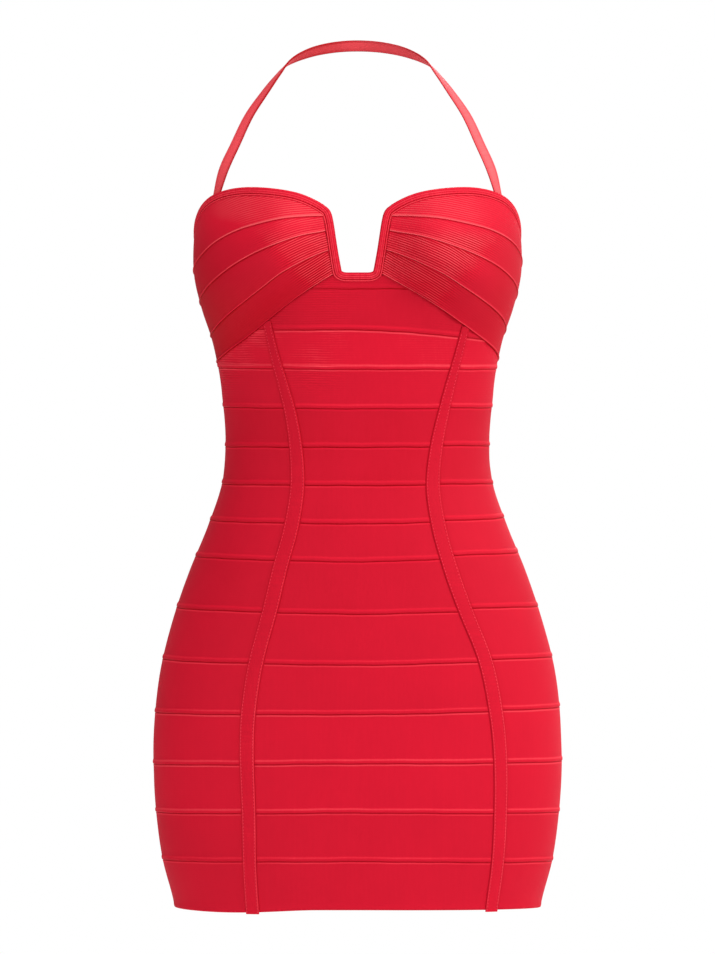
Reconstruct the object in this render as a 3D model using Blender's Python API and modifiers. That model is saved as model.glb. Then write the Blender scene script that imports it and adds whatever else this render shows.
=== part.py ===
"""A bodycon dress in bandage knit with a halter neck, filled out as it is worn.

The dress is measured in millimetres: heights up from the hem, and angles round the body
from the centre front, positive towards the wearer's left (+X). Front is -Y, up is +Z.
All pieces hang from an empty that puts the middle of the neck strap, where the neck
carries the dress, at the origin.
"""

import math

import bmesh
import bpy
import numpy as np
from mathutils import Vector

MM = 0.001
GAP = 0.3  # between two pieces that are sewn edge to edge, or that lie on each other
WALL = 1.8  # the knit of the panels

# The body of the dress: height, half width, depth of the front, depth of the back
SECTIONS = (
    (-10, 167.0, 99.0, 103.0),
    (0, 168.4, 100.0, 104.5),
    (43, 179.3, 104.5, 111.0),
    (87, 185.4, 108.5, 117.5),
    (131, 188.0, 112.0, 122.0),
    (175, 186.6, 114.0, 124.0),
    (219, 181.2, 114.0, 122.0),
    (263, 170.1, 111.0, 115.5),
    (308, 154.9, 105.0, 105.5),
    (352, 137.0, 97.0, 94.5),
    (389, 124.7, 90.0, 86.5),
    (425, 121.4, 86.5, 82.0),
    (462, 123.7, 87.0, 82.5),
    (492, 127.4, 89.5, 85.0),
    (521, 133.4, 92.0, 88.0),
    (550, 143.0, 95.0, 90.5),
    (580, 150.0, 97.5, 92.5),
    (609, 150.5, 97.5, 94.0),
    (639, 147.0, 95.0, 94.5),
    (670, 143.0, 90.5, 94.5),
)
SQUARENESS = 2.15  # 2 is an ellipse, more is squarer

# The lines between the knit bands of the panels, from the hem up: height at the centre
# front, rise at the wearer's right side, rise at the left side, step at the left tape
BAND_LINES = (
    (0.9, -1.2, -1.6, 0.0),
    (45.5, -2.4, -3.7, 0.0),
    (89.9, -3.0, -2.8, 0.0),
    (134.8, -3.7, -0.7, 0.0),
    (180.3, -1.0, 4.0, 1.2),
    (224.5, 3.5, 5.2, 2.4),
    (270.8, 4.9, 5.4, 2.6),
    (318.3, 4.2, 7.5, 2.6),
    (352.8, 2.5, 5.0, 0.9),
    (387.7, 1.0, 0.8, 1.0),
    (422.5, 0.5, 0.9, 1.1),
    (457.7, 1.8, 0.8, 0.6),
    (493.7, 1.8, 0.2, 0.0),
    (529.7, 0.0, -13.0, 0.0),
    (567.0, 0.0, 0.0, 0.0),
)
SIDE_LINES = 14  # how many of them the side fronts have
BACK_LINES = 12  # and the backs, where the cups' lines run on above them

# Each band ends in a rolled welt: above its line, raised
WELT_SHAPE = ((0.0, -0.25), (2.2, 1.15), (5.0, 0.0))
HEM_SHAPE = ((0.0, 0.0), (2.2, 0.6), (5.0, 0.0))
HEM_DIP = 2.6  # how far the hem dips in the middle of the wearer's right side front
HEM_DIP_ENDS = (-95.0, -20.0)  # angles between which it dips
LEAST_ROW = 1.2  # rows nearer than this to a panel's top edge run into it

# The princess seams: height, angle between each seam and the middle of the two, and how
# far that middle turns to the wearer's left
PRINCESS_SEAMS = (
    (-10, 54.0, 5.5),
    (0, 53.9, 5.5),
    (88, 52.2, 5.9),
    (180, 50.1, 5.1),
    (232, 47.1, 4.8),
    (274, 42.9, 4.0),
    (312, 40.0, 3.3),
    (352, 37.5, 3.6),
    (388, 37.5, 4.0),
    (423, 40.2, 4.6),
    (455, 43.5, 5.0),
    (486, 47.0, 4.7),
    (510, 49.5, 4.5),
    (545, 51.6, 4.4),
)
SIDE_SEAM = 98.0  # angle
CENTRE_BACK = 180.0

# The tapes over the princess seams: height, half width
TAPE_WIDTHS = ((-10, 6.3), (430, 6.1), (480, 5.1), (520, 4.2), (545, 3.9))
TAPE_THICK = 1.0
TAPE_BOTTOMS = (-3.2, -1.6)  # on the wearer's right, and left

# The lines across a cup: angle, lower edge, third line, second line, first line. Past
# the side seam they run on across the back.
CUP_LINES = (
    (8, 585.0, 608.0, 622.5, 633.0),
    (14, 579.5, 603.0, 620.6, 633.0),
    (20, 573.4, 599.4, 618.4, 632.8),
    (30, 562.6, 591.8, 615.0, 632.0),
    (40, 550.0, 581.6, 608.8, 630.0),
    (50, 536.2, 567.6, 600.6, 625.8),
    (60, 523.6, 554.0, 590.2, 620.0),
    (70, 513.4, 541.6, 577.6, 610.4),
    (80, 505.4, 531.2, 565.4, 597.0),
    (90, 500.8, 524.8, 556.0, 585.6),
    (100, 498.4, 521.6, 550.2, 578.6),
    (140, 496.0, 518.0, 545.0, 572.0),
    (180, 495.0, 517.0, 544.0, 571.0),
)
CUP_TURN = 4.4  # these lines turn to the wearer's left too, but not at the notch
CUP_PAD = 1.2  # the cups are thicker than the panels by this
CUP_FILL = 30.0  # how far a cup is rounded forward at its fullest
CUP_FULLEST = 0.45  # share of the cup's height where it is fullest
CUP_TOP_SHARE = 0.35  # share of the fullness that is left at its top
CUP_SPRING = 1.5  # how softly it springs from its lower edge
CUP_INNER, CUP_APEX = 11.0, 43.0  # angles where its rounding begins, and is fullest

# Where the cloth ends in the neckline's binding, from the middle of the notch over a
# cup and round to the centre back: angle, height
NECKLINE = (
    (0.0, 573.7),
    (4.0, 573.7),
    (7.0, 573.8),
    (9.6, 574.9),
    (11.5, 577.0),
    (12.8, 579.8),
    (13.6, 586.5),
    (15.2, 602.0),
    (16.8, 619.5),
    (18.3, 632.4),
    (19.9, 635.5),
    (23.6, 639.6),
    (32.6, 646.4),
    (45.2, 650.6),
    (56.8, 651.8),
    (65.8, 649.0),
    (72.6, 644.0),
    (78.7, 636.1),
    (84.0, 627.0),
    (90.0, 617.5),
    (98.0, 606.5),
    (115.0, 591.5),
    (135.0, 576.5),
    (158.0, 563.8),
    (180.0, 560.0),
)
NOTCH_PEAK = 12.8  # angle where the notch, the cup and the front meet
NOTCH_CORNER = 18.3  # angle where a cup's inner side turns into its top
BINDING = 8.0  # the width of the rolled binding
BINDING_PROUD = 1.0  # above the cloth that it binds

# The neck strap from behind a cup to the nape: across, forward, height, and the way
# that its outer face looks
STRAP_ROUTE = (
    (122.9, -48.5, 675.6, 0.55, -0.80, 0.22),
    (112.4, -40.0, 700.4, 0.50, -0.78, 0.38),
    (99.6, -28.0, 726.2, 0.50, -0.68, 0.53),
    (85.1, -14.5, 748.2, 0.56, -0.50, 0.66),
    (73.4, 0.0, 764.5, 0.68, -0.27, 0.68),
    (62.6, 14.5, 777.0, 0.80, 0.03, 0.60),
    (44.0, 37.0, 786.4, 0.72, 0.52, 0.45),
    (22.5, 58.0, 791.8, 0.38, 0.86, 0.32),
    (0.0, 66.0, 793.5, 0.0, 0.98, 0.20),
)
STRAP_FOOT = ((70.4, 639.0), (69.3, 655.0))  # angle and height of its end on the cup
STRAP_BOW = 1.0  # how much more it bows out on the wearer's left
STRAP_WIDTH, STRAP_THICK = 9.8, 1.6
STRAP_CLEAR = 0.7  # its middle to the curved inside of the cup
STRAP_STEPS = 3
NAPE = Vector((0.0, STRAP_ROUTE[-1][1] - STRAP_THICK / 2, STRAP_ROUTE[-1][2]))

# The zip at the centre back
ZIP_HALF, ZIP_THICK = 12.0, 1.0
ZIP_FIRST_LINE = 4  # it starts at this line of the backs
ZIP_TOP = 566.5
ZIP_WINDOW = 4.6  # half the gap between the back bindings, where the slider sits
SLIDER_WIDTH, SLIDER_DEPTH, SLIDER_LENGTH = 6.6, 3.4, 8.8
SLIDER_BOTTOM = 560.4
BRIDGE_WIDTH, BRIDGE_WALL = 1.8, 0.9
TUNNEL_LENGTH, TUNNEL_HEIGHT = 3.6, 2.0
TAB_THICK, TAB_WIDTH, TAB_LENGTH = 1.2, 5.6, 24.0
TAB_SLOT_WIDTH, TAB_SLOT_END = 2.6, 4.2  # the slot round the bridge, from the axis
TAB_HOLE = 1.1  # radius of the hole near its end

KNIT_RED = (0.62, 0.012, 0.035, 1)
CUP_RED = (0.66, 0.018, 0.045, 1)
TRIM_RED = (0.58, 0.010, 0.032, 1)
STRAP_RED = (0.70, 0.030, 0.060, 1)
ZIP_RED = (0.45, 0.010, 0.025, 1)


# --- curves and the body's surface ---------------------------------------------------


def curve(table, column, at):
    """A smooth curve through one column of a table, over the table's first column."""
    knots = np.array([row[0] for row in table], float)
    values = np.array([row[column] for row in table], float)
    widths = np.diff(knots)
    steps = np.diff(values) / widths
    inner = (steps[:-1] * widths[1:] + steps[1:] * widths[:-1]) / (widths[1:] + widths[:-1])
    slopes = np.concatenate((steps[:1], inner, steps[-1:]))
    at = np.clip(at, knots[0], knots[-1])
    left = np.clip(np.searchsorted(knots, at) - 1, 0, len(widths) - 1)
    width = widths[left]
    t = (at - knots[left]) / width
    ends = values[left] * (1 + 2 * t) * (1 - t) ** 2 + values[left + 1] * t**2 * (3 - 2 * t)
    bend = slopes[left] * (1 - t) - slopes[left + 1] * t
    return ends + width * t * (1 - t) * bend


def through(rows, steps):
    """Rows on a smooth curve through a table of rows, so many to each stretch of it."""
    rows = np.array(rows, float)
    padded = np.vstack((2 * rows[0] - rows[1], rows, 2 * rows[-1] - rows[-2]))
    found = []
    for i in range(len(rows) - 1):
        a, b, c, d = padded[i : i + 4]
        for t in np.arange(steps) / steps:
            cubic = (3 * b - a - 3 * c + d) * t**3
            found.append(b + 0.5 * ((c - a) * t + (2 * a - 5 * b + 4 * c - d) * t**2 + cubic))
    return np.array(found + [rows[-1]])


def eased(low, high, at):
    """0 below low, 1 above high, and a soft step between."""
    t = np.clip((np.asarray(at, float) - low) / (high - low), 0, 1)
    return t * t * (3 - 2 * t)


NECKLINE_PATH = through(NECKLINE, 2)


def neckline(angle):
    """Height of the cloth's upper edge, which the notch's inner side leaves out."""
    rows = NECKLINE_PATH
    rows = rows[(rows[:, 0] <= NOTCH_PEAK + 0.01) | (rows[:, 0] >= NOTCH_CORNER - 0.01)]
    return np.interp(np.abs(angle), rows[:, 0], rows[:, 1])


def notch_side(height):
    """Angle of a cup's inner side, beside the notch."""
    rows = NECKLINE_PATH[NECKLINE_PATH[:, 0] >= NOTCH_PEAK - 0.01]
    rows = rows[rows[:, 0] <= NOTCH_CORNER + 0.01]
    return np.interp(height, rows[:, 1], rows[:, 0])


def cup_line(number, angle):
    """Height of a cup's line, from 1 at its lower edge to 4 under its top."""
    turn = CUP_TURN * np.sin(np.radians(angle)) ** 2
    return curve(CUP_LINES, number, np.abs(angle - turn))


def fullness(angle, height):
    """How far a cup is rounded forward of the body there."""
    low = cup_line(1, angle)
    high = neckline(np.maximum(np.abs(angle), NOTCH_CORNER))
    up = np.clip((height - low) / (high - low), 0, 1.3)
    beyond = np.maximum(up - CUP_FULLEST, 0) / (1 - CUP_FULLEST)
    below = np.sin(math.pi / 2 * np.minimum(up / CUP_FULLEST, 1)) ** CUP_SPRING
    rise = below - (1 - CUP_TOP_SHARE) * beyond**1.6
    across = np.interp(np.abs(angle), (CUP_INNER, CUP_APEX, SIDE_SEAM), (0, 0.5, 1))
    return CUP_FILL * rise * np.sin(math.pi * across) ** 2


def padding(angle):
    """How far the cups stand proud of the panels, and the binding with them."""
    angle = np.abs(angle)
    return CUP_PAD * eased(9, 15, angle) * (1 - eased(70, SIDE_SEAM, angle))


def body(angle, height, cups):
    """Points of the cloth's outer face, before padding and welts."""
    angle, height = np.broadcast_arrays(np.asarray(angle, float), np.asarray(height, float))
    turn = np.radians(angle)
    across = curve(SECTIONS, 1, height)
    depth = np.where(np.cos(turn) > 0, curve(SECTIONS, 2, height), curve(SECTIONS, 3, height))
    x, y = np.sin(turn), -np.cos(turn)
    share = np.abs(x / across) ** SQUARENESS + np.abs(y / depth) ** SQUARENESS
    radius = share ** (-1 / SQUARENESS)
    forward = fullness(angle, height) if cups else 0.0
    return np.stack((x * radius, y * radius - forward, height), axis=-1)


def outward(angle, height, cups):
    """Unit normals of the body."""
    around = body(angle + 0.2, height, cups) - body(angle - 0.2, height, cups)
    upward = body(angle, height + 0.5, cups) - body(angle, height - 0.5, cups)
    normal = np.cross(around, upward)
    return normal / np.linalg.norm(normal, axis=-1, keepdims=True)


def raised(angle, height, out, cups=False):
    """Points that stand out from the body by so much."""
    out = np.broadcast_to(out, np.broadcast(angle, height).shape)
    return body(angle, height, cups) + outward(angle, height, cups) * out[..., None]


def degree(angle, height):
    """Millimetres round the body for a degree there."""
    step = body(angle + 0.5, height, False) - body(angle - 0.5, height, False)
    return np.linalg.norm(step, axis=-1)


def band_line(row, angle, step_share=0.0):
    """Height of a line between two bands of the panels."""
    centre, right_rise, left_rise, step = row
    rise = np.where(np.asarray(angle) > 0, left_rise, right_rise)
    behind = eased(SIDE_SEAM, CENTRE_BACK, np.abs(angle))
    rise = rise + ((right_rise + left_rise) / 2 - rise) * behind
    forward = np.cos(np.radians(np.minimum(np.abs(angle), 90)))
    return centre + rise * (1 - forward) ** 0.8 + step * step_share * np.minimum(1, 1.6 * forward)


# --- meshes --------------------------------------------------------------------------


def clear_scene():
    for obj in list(bpy.data.objects):
        bpy.data.objects.remove(obj, do_unlink=True)


def new_collection(name):
    found = bpy.data.collections.new(name)
    bpy.context.scene.collection.children.link(found)
    return found


def new_empty(name, at, parent=None):
    """An empty at a place given in the dress's own measures."""
    empty = bpy.data.objects.new(name, None)
    empty.location = Vector(at) * MM
    empty.parent = parent
    dress_pieces.objects.link(empty)
    return empty


def coloured(obj, colour, roughness=0.7, metallic=0.0):
    material = bpy.data.materials.new(obj.name)
    material.use_nodes = True
    shader = material.node_tree.nodes["Principled BSDF"]
    shader.inputs["Base Color"].default_value = colour
    shader.inputs["Roughness"].default_value = roughness
    shader.inputs["Metallic"].default_value = metallic
    obj.data.materials.append(material)


def mesh_of(name, bm):
    """A closed mesh in metres, its faces outward, from a bmesh in millimetres."""
    bmesh.ops.remove_doubles(bm, verts=bm.verts, dist=0.01)
    bmesh.ops.recalc_face_normals(bm, faces=bm.faces)
    bmesh.ops.scale(bm, vec=(MM, MM, MM), verts=bm.verts)
    mesh = bpy.data.meshes.new(name)
    bm.to_mesh(mesh)
    bm.free()
    mesh.shade_smooth()
    mesh.set_sharp_from_angle(angle=math.radians(45))
    return mesh


def cloth_piece(name, bm, colour):
    obj = bpy.data.objects.new(name, mesh_of(name, bm))
    obj.parent = hem_centre
    dress_pieces.objects.link(obj)
    coloured(obj, colour)


def face(bm, corners):
    """A face through these corners, without any that repeats the one before it."""
    kept = [v for i, v in enumerate(corners) if (v.co - corners[i - 1].co).length > 0.01]
    if len(kept) > 2:
        bm.faces.new(kept)


def wall(name, outer, inner, behind, colour):
    """A wall between a grid of outer points and a plainer grid of inner points.

    Row j of the inner grid lies behind row behind[j] of the outer grid.
    """
    bm = bmesh.new()
    outside = [[bm.verts.new(point) for point in row] for row in outer]
    inside = [[bm.verts.new(point) for point in row] for row in inner]
    for grid in (outside, inside):
        for low, high in zip(grid, grid[1:]):
            for i in range(len(low) - 1):
                face(bm, (low[i], low[i + 1], high[i + 1], high[i]))
    for rim_out, rim_in in ((outside[0], inside[0]), (outside[-1], inside[-1])):
        for i in range(len(rim_out) - 1):
            face(bm, (rim_out[i], rim_out[i + 1], rim_in[i + 1], rim_in[i]))
    for side in (0, -1):
        for j in range(len(behind) - 1):
            edge = [row[side] for row in outside[behind[j] : behind[j + 1] + 1]]
            face(bm, edge + [inside[j + 1][side], inside[j][side]])
    cloth_piece(name, bm, colour)


def strip(name, sections, colour):
    """A solid strip swept through closed sections, one after another, with flat ends."""
    bm = bmesh.new()
    rings = [[bm.verts.new(point) for point in section] for section in sections]
    for low, high in zip(rings, rings[1:]):
        for i in range(len(low)):
            face(bm, (low[i - 1], low[i], high[i], high[i - 1]))
    face(bm, rings[0])
    face(bm, rings[-1])
    cloth_piece(name, bm, colour)


def bar_shape(half_width, half_height):
    """Across and up, the corners of a flat bar with its edges taken off."""
    near, far = 0.62, 0.96
    quarter = ((far, -near), (far, near), (near, far))
    corners = quarter + ((-near, far), (-far, near), (-far, -near), (-near, -far), (near, -far))
    return [(half_width * x, half_height * z) for x, z in corners]


# --- panels and cups -----------------------------------------------------------------

# Columns of points up a panel: share of the way from its first seam to its second, then
# millimetres on, then half tape widths on, and how much of the welts shows there
AT_FIRST_TAPE = [(0, GAP / 2, 0, 0), (0, 0.2, 1, 0), (0, 2.2, 1, 1)]
AT_SECOND_TAPE = [(1, -2.2, -1, 1), (1, -0.2, -1, 0), (1, -GAP / 2, 0, 0)]
AT_FIRST_SEAM = [(0, GAP / 2, 0, 1)]
AT_SECOND_SEAM = [(1, -GAP / 2, 0, 1)]
AT_ZIP = [(1, -ZIP_HALF - 0.5, 0, 1)] + AT_SECOND_SEAM
# Angles of the front's inner columns at its top, which meet the notch and the cups
FRONT_TOP = (-38, -25, -12.8, -11.5, -9.6, -7, 0, 7, 9.6, 11.5, 12.8, 25, 40)


def even_columns(count):
    return [(k / (count + 1), 0, 0, 1) for k in range(1, count + 1)]


def turned_over(columns):
    """The columns of the same panel on the other side of the body."""
    return [(1 - share, -on, -tapes, welt) for share, on, tapes, welt in reversed(columns)]


def princess_seam(side):
    """Angle of a princess seam over height, on the wearer's left (1) or right (-1)."""

    def angle(height):
        return curve(PRINCESS_SEAMS, 2, height) + side * curve(PRINCESS_SEAMS, 1, height)

    return angle


def level_seam(at):
    return lambda height: np.full(np.shape(height), float(at))


def banded_wall(name, seams, columns, lines, top, colour, cups=False, top_angles=None):
    """A piece of cloth between two seams, its bands ending in raised welts."""
    shares, ons, tapes, welts = np.array(columns, float).T
    inner = slice(3, -3)

    def column_angles(height):
        start, end = seams[0](height), seams[1](height)
        along = start + (end - start) * shares
        on = ons + tapes * curve(TAPE_WIDTHS, 1, height)
        along = along + on / degree(along, height)
        if top_angles is not None:
            blend = eased(470, 560, height[inner])
            along[inner] += (np.array(top_angles) - along[inner]) * blend
        return along

    def on_line(line):
        """Angle and height of each column where it meets a line."""
        height = np.full(len(columns), float(line(np.array(60.0))))
        for _ in range(12):
            angle = column_angles(height)
            height = line(angle)
        return angle, height

    top_angle, top_height = on_line(top)
    outer, inner_side, behind = [], [], []
    for number, line in enumerate(lines):
        for above, out in HEM_SHAPE if number == 0 and not cups else WELT_SHAPE:
            angle, height = on_line(lambda a: line(a) + above)
            past = height > top_height - LEAST_ROW
            angle = np.where(past, top_angle, angle)
            height = np.where(past, top_height, height)
            lift = np.where(past, 0.0, out * welts) + (padding(angle) if cups else 0.0)
            outer.append(raised(angle, height, lift, cups))
            if above == 0:
                behind.append(len(outer) - 1)
                inner_side.append(raised(angle, height, -WALL, cups))
    outer.append(raised(top_angle, top_height, padding(top_angle) if cups else 0.0, cups))
    behind.append(len(outer) - 1)
    inner_side.append(raised(top_angle, top_height, -WALL, cups))
    wall(name, outer, inner_side, behind, colour)


def hem_dip(angle):
    start, end = HEM_DIP_ENDS
    along = np.clip((np.asarray(angle) - start) / (end - start), 0, 1)
    return HEM_DIP * np.sin(math.pi * along) ** 2


def panel_lines(count, step_share=0.0):
    lines = [lambda a, row=row: band_line(row, a, step_share) for row in BAND_LINES[1:count]]
    return [lambda a: band_line(BAND_LINES[0], a) - hem_dip(a)] + lines


def cup_lines():
    return [lambda a, number=number: cup_line(number, a) for number in (1, 2, 3, 4)]


def under_cups(angle):
    """The panels' top edge: under the notch's binding, then along the cups."""
    under_notch = np.where(np.abs(angle) < NOTCH_PEAK + 0.1, neckline(angle), np.inf)
    return np.minimum(under_notch, cup_line(1, angle) - GAP)


def build_front():
    columns = AT_FIRST_TAPE + even_columns(len(FRONT_TOP)) + AT_SECOND_TAPE
    seams = (princess_seam(-1), princess_seam(1))
    lines = panel_lines(len(BAND_LINES))
    banded_wall("front_centre", seams, columns, lines, under_cups, KNIT_RED, False, FRONT_TOP)
    columns = AT_FIRST_TAPE + even_columns(5) + AT_SECOND_SEAM
    seams = (princess_seam(1), level_seam(SIDE_SEAM))
    lines = panel_lines(SIDE_LINES, step_share=1.0)
    banded_wall("front_side_left", seams, columns, lines, under_cups, KNIT_RED)
    seams = (level_seam(-SIDE_SEAM), princess_seam(-1))
    lines = panel_lines(SIDE_LINES)
    banded_wall("front_side_right", seams, turned_over(columns), lines, under_cups, KNIT_RED)


def build_backs():
    columns = AT_FIRST_SEAM + even_columns(9) + AT_ZIP
    seams = (level_seam(SIDE_SEAM), level_seam(CENTRE_BACK))
    lines = panel_lines(BACK_LINES) + cup_lines()
    banded_wall("back_left", seams, columns, lines, neckline, KNIT_RED)
    seams = (level_seam(-CENTRE_BACK), level_seam(-SIDE_SEAM))
    banded_wall("back_right", seams, turned_over(columns), lines, neckline, KNIT_RED)


def build_cups():
    columns = [(0, 0, 0, 1)] + even_columns(16) + AT_SECOND_SEAM
    seams = (notch_side, level_seam(SIDE_SEAM))
    banded_wall("cup_left", seams, columns, cup_lines(), neckline, CUP_RED, True)
    seams = (level_seam(-SIDE_SEAM), lambda height: -notch_side(height))
    banded_wall("cup_right", seams, turned_over(columns), cup_lines(), neckline, CUP_RED, True)


def build_tapes():
    """A flat tape over each princess seam, from below the hem to the cup's edge."""
    for side, name in ((1, "seam_tape_left"), (-1, "seam_tape_right")):
        seam = princess_seam(side)
        cup_edge = float(cup_line(1, seam(np.array(530.0))))
        heights = [TAPE_BOTTOMS[side > 0]]
        for row in BAND_LINES[:SIDE_LINES]:
            at = float(band_line(row, seam(np.array(row[0]))))
            heights += [at, at + WELT_SHAPE[-1][0]]
        heights = [height for height in heights if height < cup_edge - 8] + [cup_edge]
        sections = []
        for height in heights:
            reach = float(curve(TAPE_WIDTHS, 1, height))
            across = np.array((-reach, 0.0, reach))
            middle = float(seam(np.array(height)))
            angle = middle + across / degree(middle, height)
            level = np.minimum(height, cup_line(1, angle) - GAP)
            under = raised(angle, level, GAP)
            over = raised(angle, level, GAP + TAPE_THICK)
            sections.append(list(under) + list(over)[::-1])
        strip(name, sections, TRIM_RED)


# --- binding -------------------------------------------------------------------------


def neckline_stations():
    """Along the cloth's upper edge, all round: angle, height, and the way on as an angle
    step and a rise, both in millimetres."""
    path = np.vstack((NECKLINE_PATH[:0:-1] * (-1, 1), NECKLINE_PATH))
    steps = np.diff(path, axis=0)
    middle = (path[1:] + path[:-1]) / 2
    steps[:, 0] *= degree(middle[:, 0], middle[:, 1])
    steps /= np.linalg.norm(steps, axis=1, keepdims=True)
    ways = np.vstack((steps[:1], steps[:-1] + steps[1:], steps[-1:]))
    ways /= np.linalg.norm(ways, axis=1, keepdims=True)
    return np.hstack((path, ways))


def binding(name, start, end):
    """A stretch of the rolled binding between two angles."""
    stations = neckline_stations()
    ends = [[np.interp(at, stations[:, 0], column) for column in stations.T] for at in (start, end)]
    between = (stations[:, 0] > start + 0.5) & (stations[:, 0] < end - 0.5)
    sections = []
    for angle, height, forward, up in np.vstack((ends[:1], stations[between], ends[1:])):
        pad = float(padding(angle))
        shape = bar_shape(BINDING / 2, (WALL + pad + BINDING_PROUD) / 2)
        off = np.array([GAP + BINDING / 2 + x for x, _ in shape])
        out = np.array([(pad + BINDING_PROUD - WALL) / 2 + z for _, z in shape])
        back = up * off / float(degree(angle, height))
        sections.append(raised(angle - back, height + forward * off, out, True))
    strip(name, sections, TRIM_RED)


def build_bindings():
    half_gap = GAP / 2 / float(degree(SIDE_SEAM, 606))
    zip_end = CENTRE_BACK - ZIP_WINDOW / float(degree(CENTRE_BACK, 560))
    binding("binding_front", -SIDE_SEAM + half_gap, SIDE_SEAM - half_gap)
    binding("binding_back_left", SIDE_SEAM + half_gap, zip_end)
    binding("binding_back_right", -zip_end, -SIDE_SEAM - half_gap)


# --- neck strap ----------------------------------------------------------------------


def strap_rows(side):
    """The strap's middle and the way it looks, from its foot to the nape on one side."""
    behind_cup = -WALL - STRAP_CLEAR - STRAP_THICK / 2
    rows = []
    for angle, height in STRAP_FOOT:
        at = raised(side * angle, height, behind_cup, True)
        rows.append((*at, *outward(side * angle, height, True)))
    for i, (x, y, z, face_x, face_y, face_z) in enumerate(STRAP_ROUTE):
        bow = STRAP_BOW * math.sin(math.pi * i / (len(STRAP_ROUTE) - 1)) if side > 0 else 0
        rows.append((side * (x + bow), y, z, side * face_x, face_y, face_z))
    return rows


def build_strap():
    rows = strap_rows(-1) + strap_rows(1)[-2::-1]
    stations = through(rows, STRAP_STEPS)
    points, faces = stations[:, :3], stations[:, 3:]
    tangents = np.gradient(points, axis=0)
    sections = []
    for point, tangent, looks in zip(points, tangents, faces):
        tangent = tangent / np.linalg.norm(tangent)
        looks = looks - tangent * np.dot(looks, tangent)
        looks /= np.linalg.norm(looks)
        across = np.cross(tangent, looks)
        shape = bar_shape(STRAP_WIDTH / 2, STRAP_THICK / 2)
        sections.append([point + across * x + looks * z for x, z in shape])
    strip("halter_strap", sections, STRAP_RED)


# --- zip -----------------------------------------------------------------------------


def back_depth(height):
    return float(body(CENTRE_BACK, height, False)[1])


def build_zip_tape():
    """The zip's tape lies inside the backs, which meet over it."""
    lines = panel_lines(BACK_LINES)[ZIP_FIRST_LINE:] + cup_lines()
    heights = [float(line(np.array(CENTRE_BACK))) for line in lines]
    top = float(neckline(CENTRE_BACK))
    heights = [height for height in heights if height < top] + [top, ZIP_TOP]
    sections = []
    for height in heights:
        across = np.array((-ZIP_HALF, 0.0, ZIP_HALF))
        angle = CENTRE_BACK + across / degree(CENTRE_BACK, height)
        outer = raised(angle, height, -WALL - GAP)
        inner = raised(angle, height, -WALL - GAP - ZIP_THICK)
        sections.append(list(outer) + list(inner)[::-1])
    strip("zip_tape", sections, ZIP_RED)


def block(name, outline, half_width):
    """A block from its side outline (depth, height), so wide each way."""
    bm = bmesh.new()
    side = bm.faces.new([bm.verts.new((-half_width, y, z)) for y, z in outline])
    grown = bmesh.ops.extrude_face_region(bm, geom=[side])
    moved = [v for v in grown["geom"] if isinstance(v, bmesh.types.BMVert)]
    bmesh.ops.translate(bm, verts=moved, vec=(2 * half_width, 0, 0))
    return bpy.data.objects.new(name, mesh_of(name, bm))


def build_slider():
    """The slider on its tape, with the bridge that carries the tab."""
    middle = SLIDER_BOTTOM + SLIDER_LENGTH / 2
    tape_face = back_depth(middle) - WALL - GAP
    near, far = tape_face + GAP, tape_face + GAP + SLIDER_DEPTH
    top = SLIDER_BOTTOM + SLIDER_LENGTH
    outline = ((near, SLIDER_BOTTOM), (far, SLIDER_BOTTOM), (far, top), (near, top))
    slider = block("zip_slider", outline, SLIDER_WIDTH / 2)
    bevel = slider.modifiers.new("rounded", "BEVEL")
    bevel.width = 0.6 * MM
    bevel.segments = 2
    tunnel = TUNNEL_LENGTH / 2
    leg = tunnel + BRIDGE_WALL
    roof = far + TUNNEL_HEIGHT
    root = far - 0.5
    outline = (
        (root, middle - leg),
        (roof + BRIDGE_WALL, middle - leg),
        (roof + BRIDGE_WALL, middle + leg),
        (root, middle + leg),
        (root, middle + tunnel),
        (roof, middle + tunnel),
        (roof, middle - tunnel),
        (root, middle - tunnel),
    )
    bridge = block("bridge", outline, BRIDGE_WIDTH / 2)
    bridge.hide_render = True
    bridge.display_type = "WIRE"
    bridge.parent = hem_centre
    cutters.objects.link(bridge)
    union = slider.modifiers.new("bridge", "BOOLEAN")
    union.operation = "UNION"
    union.solver = "EXACT"
    union.object = bridge
    slider.parent = hem_centre
    dress_pieces.objects.link(slider)
    coloured(slider, ZIP_RED, 0.35, 0.6)
    return (0.0, far + TUNNEL_HEIGHT / 2, middle)


def arc(centre_y, radius, start, end, steps):
    """Points on an arc about (0, centre_y), between two angles."""
    turns = np.radians(np.linspace(start, end, steps + 1))
    return [(radius * math.cos(t), centre_y + radius * math.sin(t)) for t in turns]


def build_tab(axis_at):
    """The pull tab hangs from its hinge, whose axis runs across the dress."""
    hinge = new_empty("zip_hinge", axis_at, hem_centre)
    bar = TAB_THICK / 2
    half = TAB_WIDTH / 2
    slot = TAB_SLOT_WIDTH / 2
    end = bar - TAB_LENGTH
    outer = [(half, bar), (-half, bar)] + arc(end + half, half, 180, 360, 10)
    slot_outline = [(-slot, -bar), (slot, -bar)] + arc(-TAB_SLOT_END + slot, slot, 0, -180, 6)
    hole = arc(end + half + 0.4, TAB_HOLE, 0, 330, 11)
    outline = bpy.data.curves.new("zip_tab", "CURVE")
    outline.dimensions = "2D"
    outline.fill_mode = "BOTH"
    outline.extrude = TAB_THICK / 2 * MM
    for points in (outer, slot_outline, hole):
        spline = outline.splines.new("POLY")
        spline.points.add(len(points) - 1)
        spline.use_cyclic_u = True
        for point, (x, y) in zip(spline.points, points):
            point.co = (x * MM, y * MM, 0, 1)
    tab = bpy.data.objects.new("zip_tab", outline)
    tab.rotation_euler = (math.pi / 2, 0, 0)
    tab.parent = hinge
    dress_pieces.objects.link(tab)
    coloured(tab, ZIP_RED, 0.35, 0.6)


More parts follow.
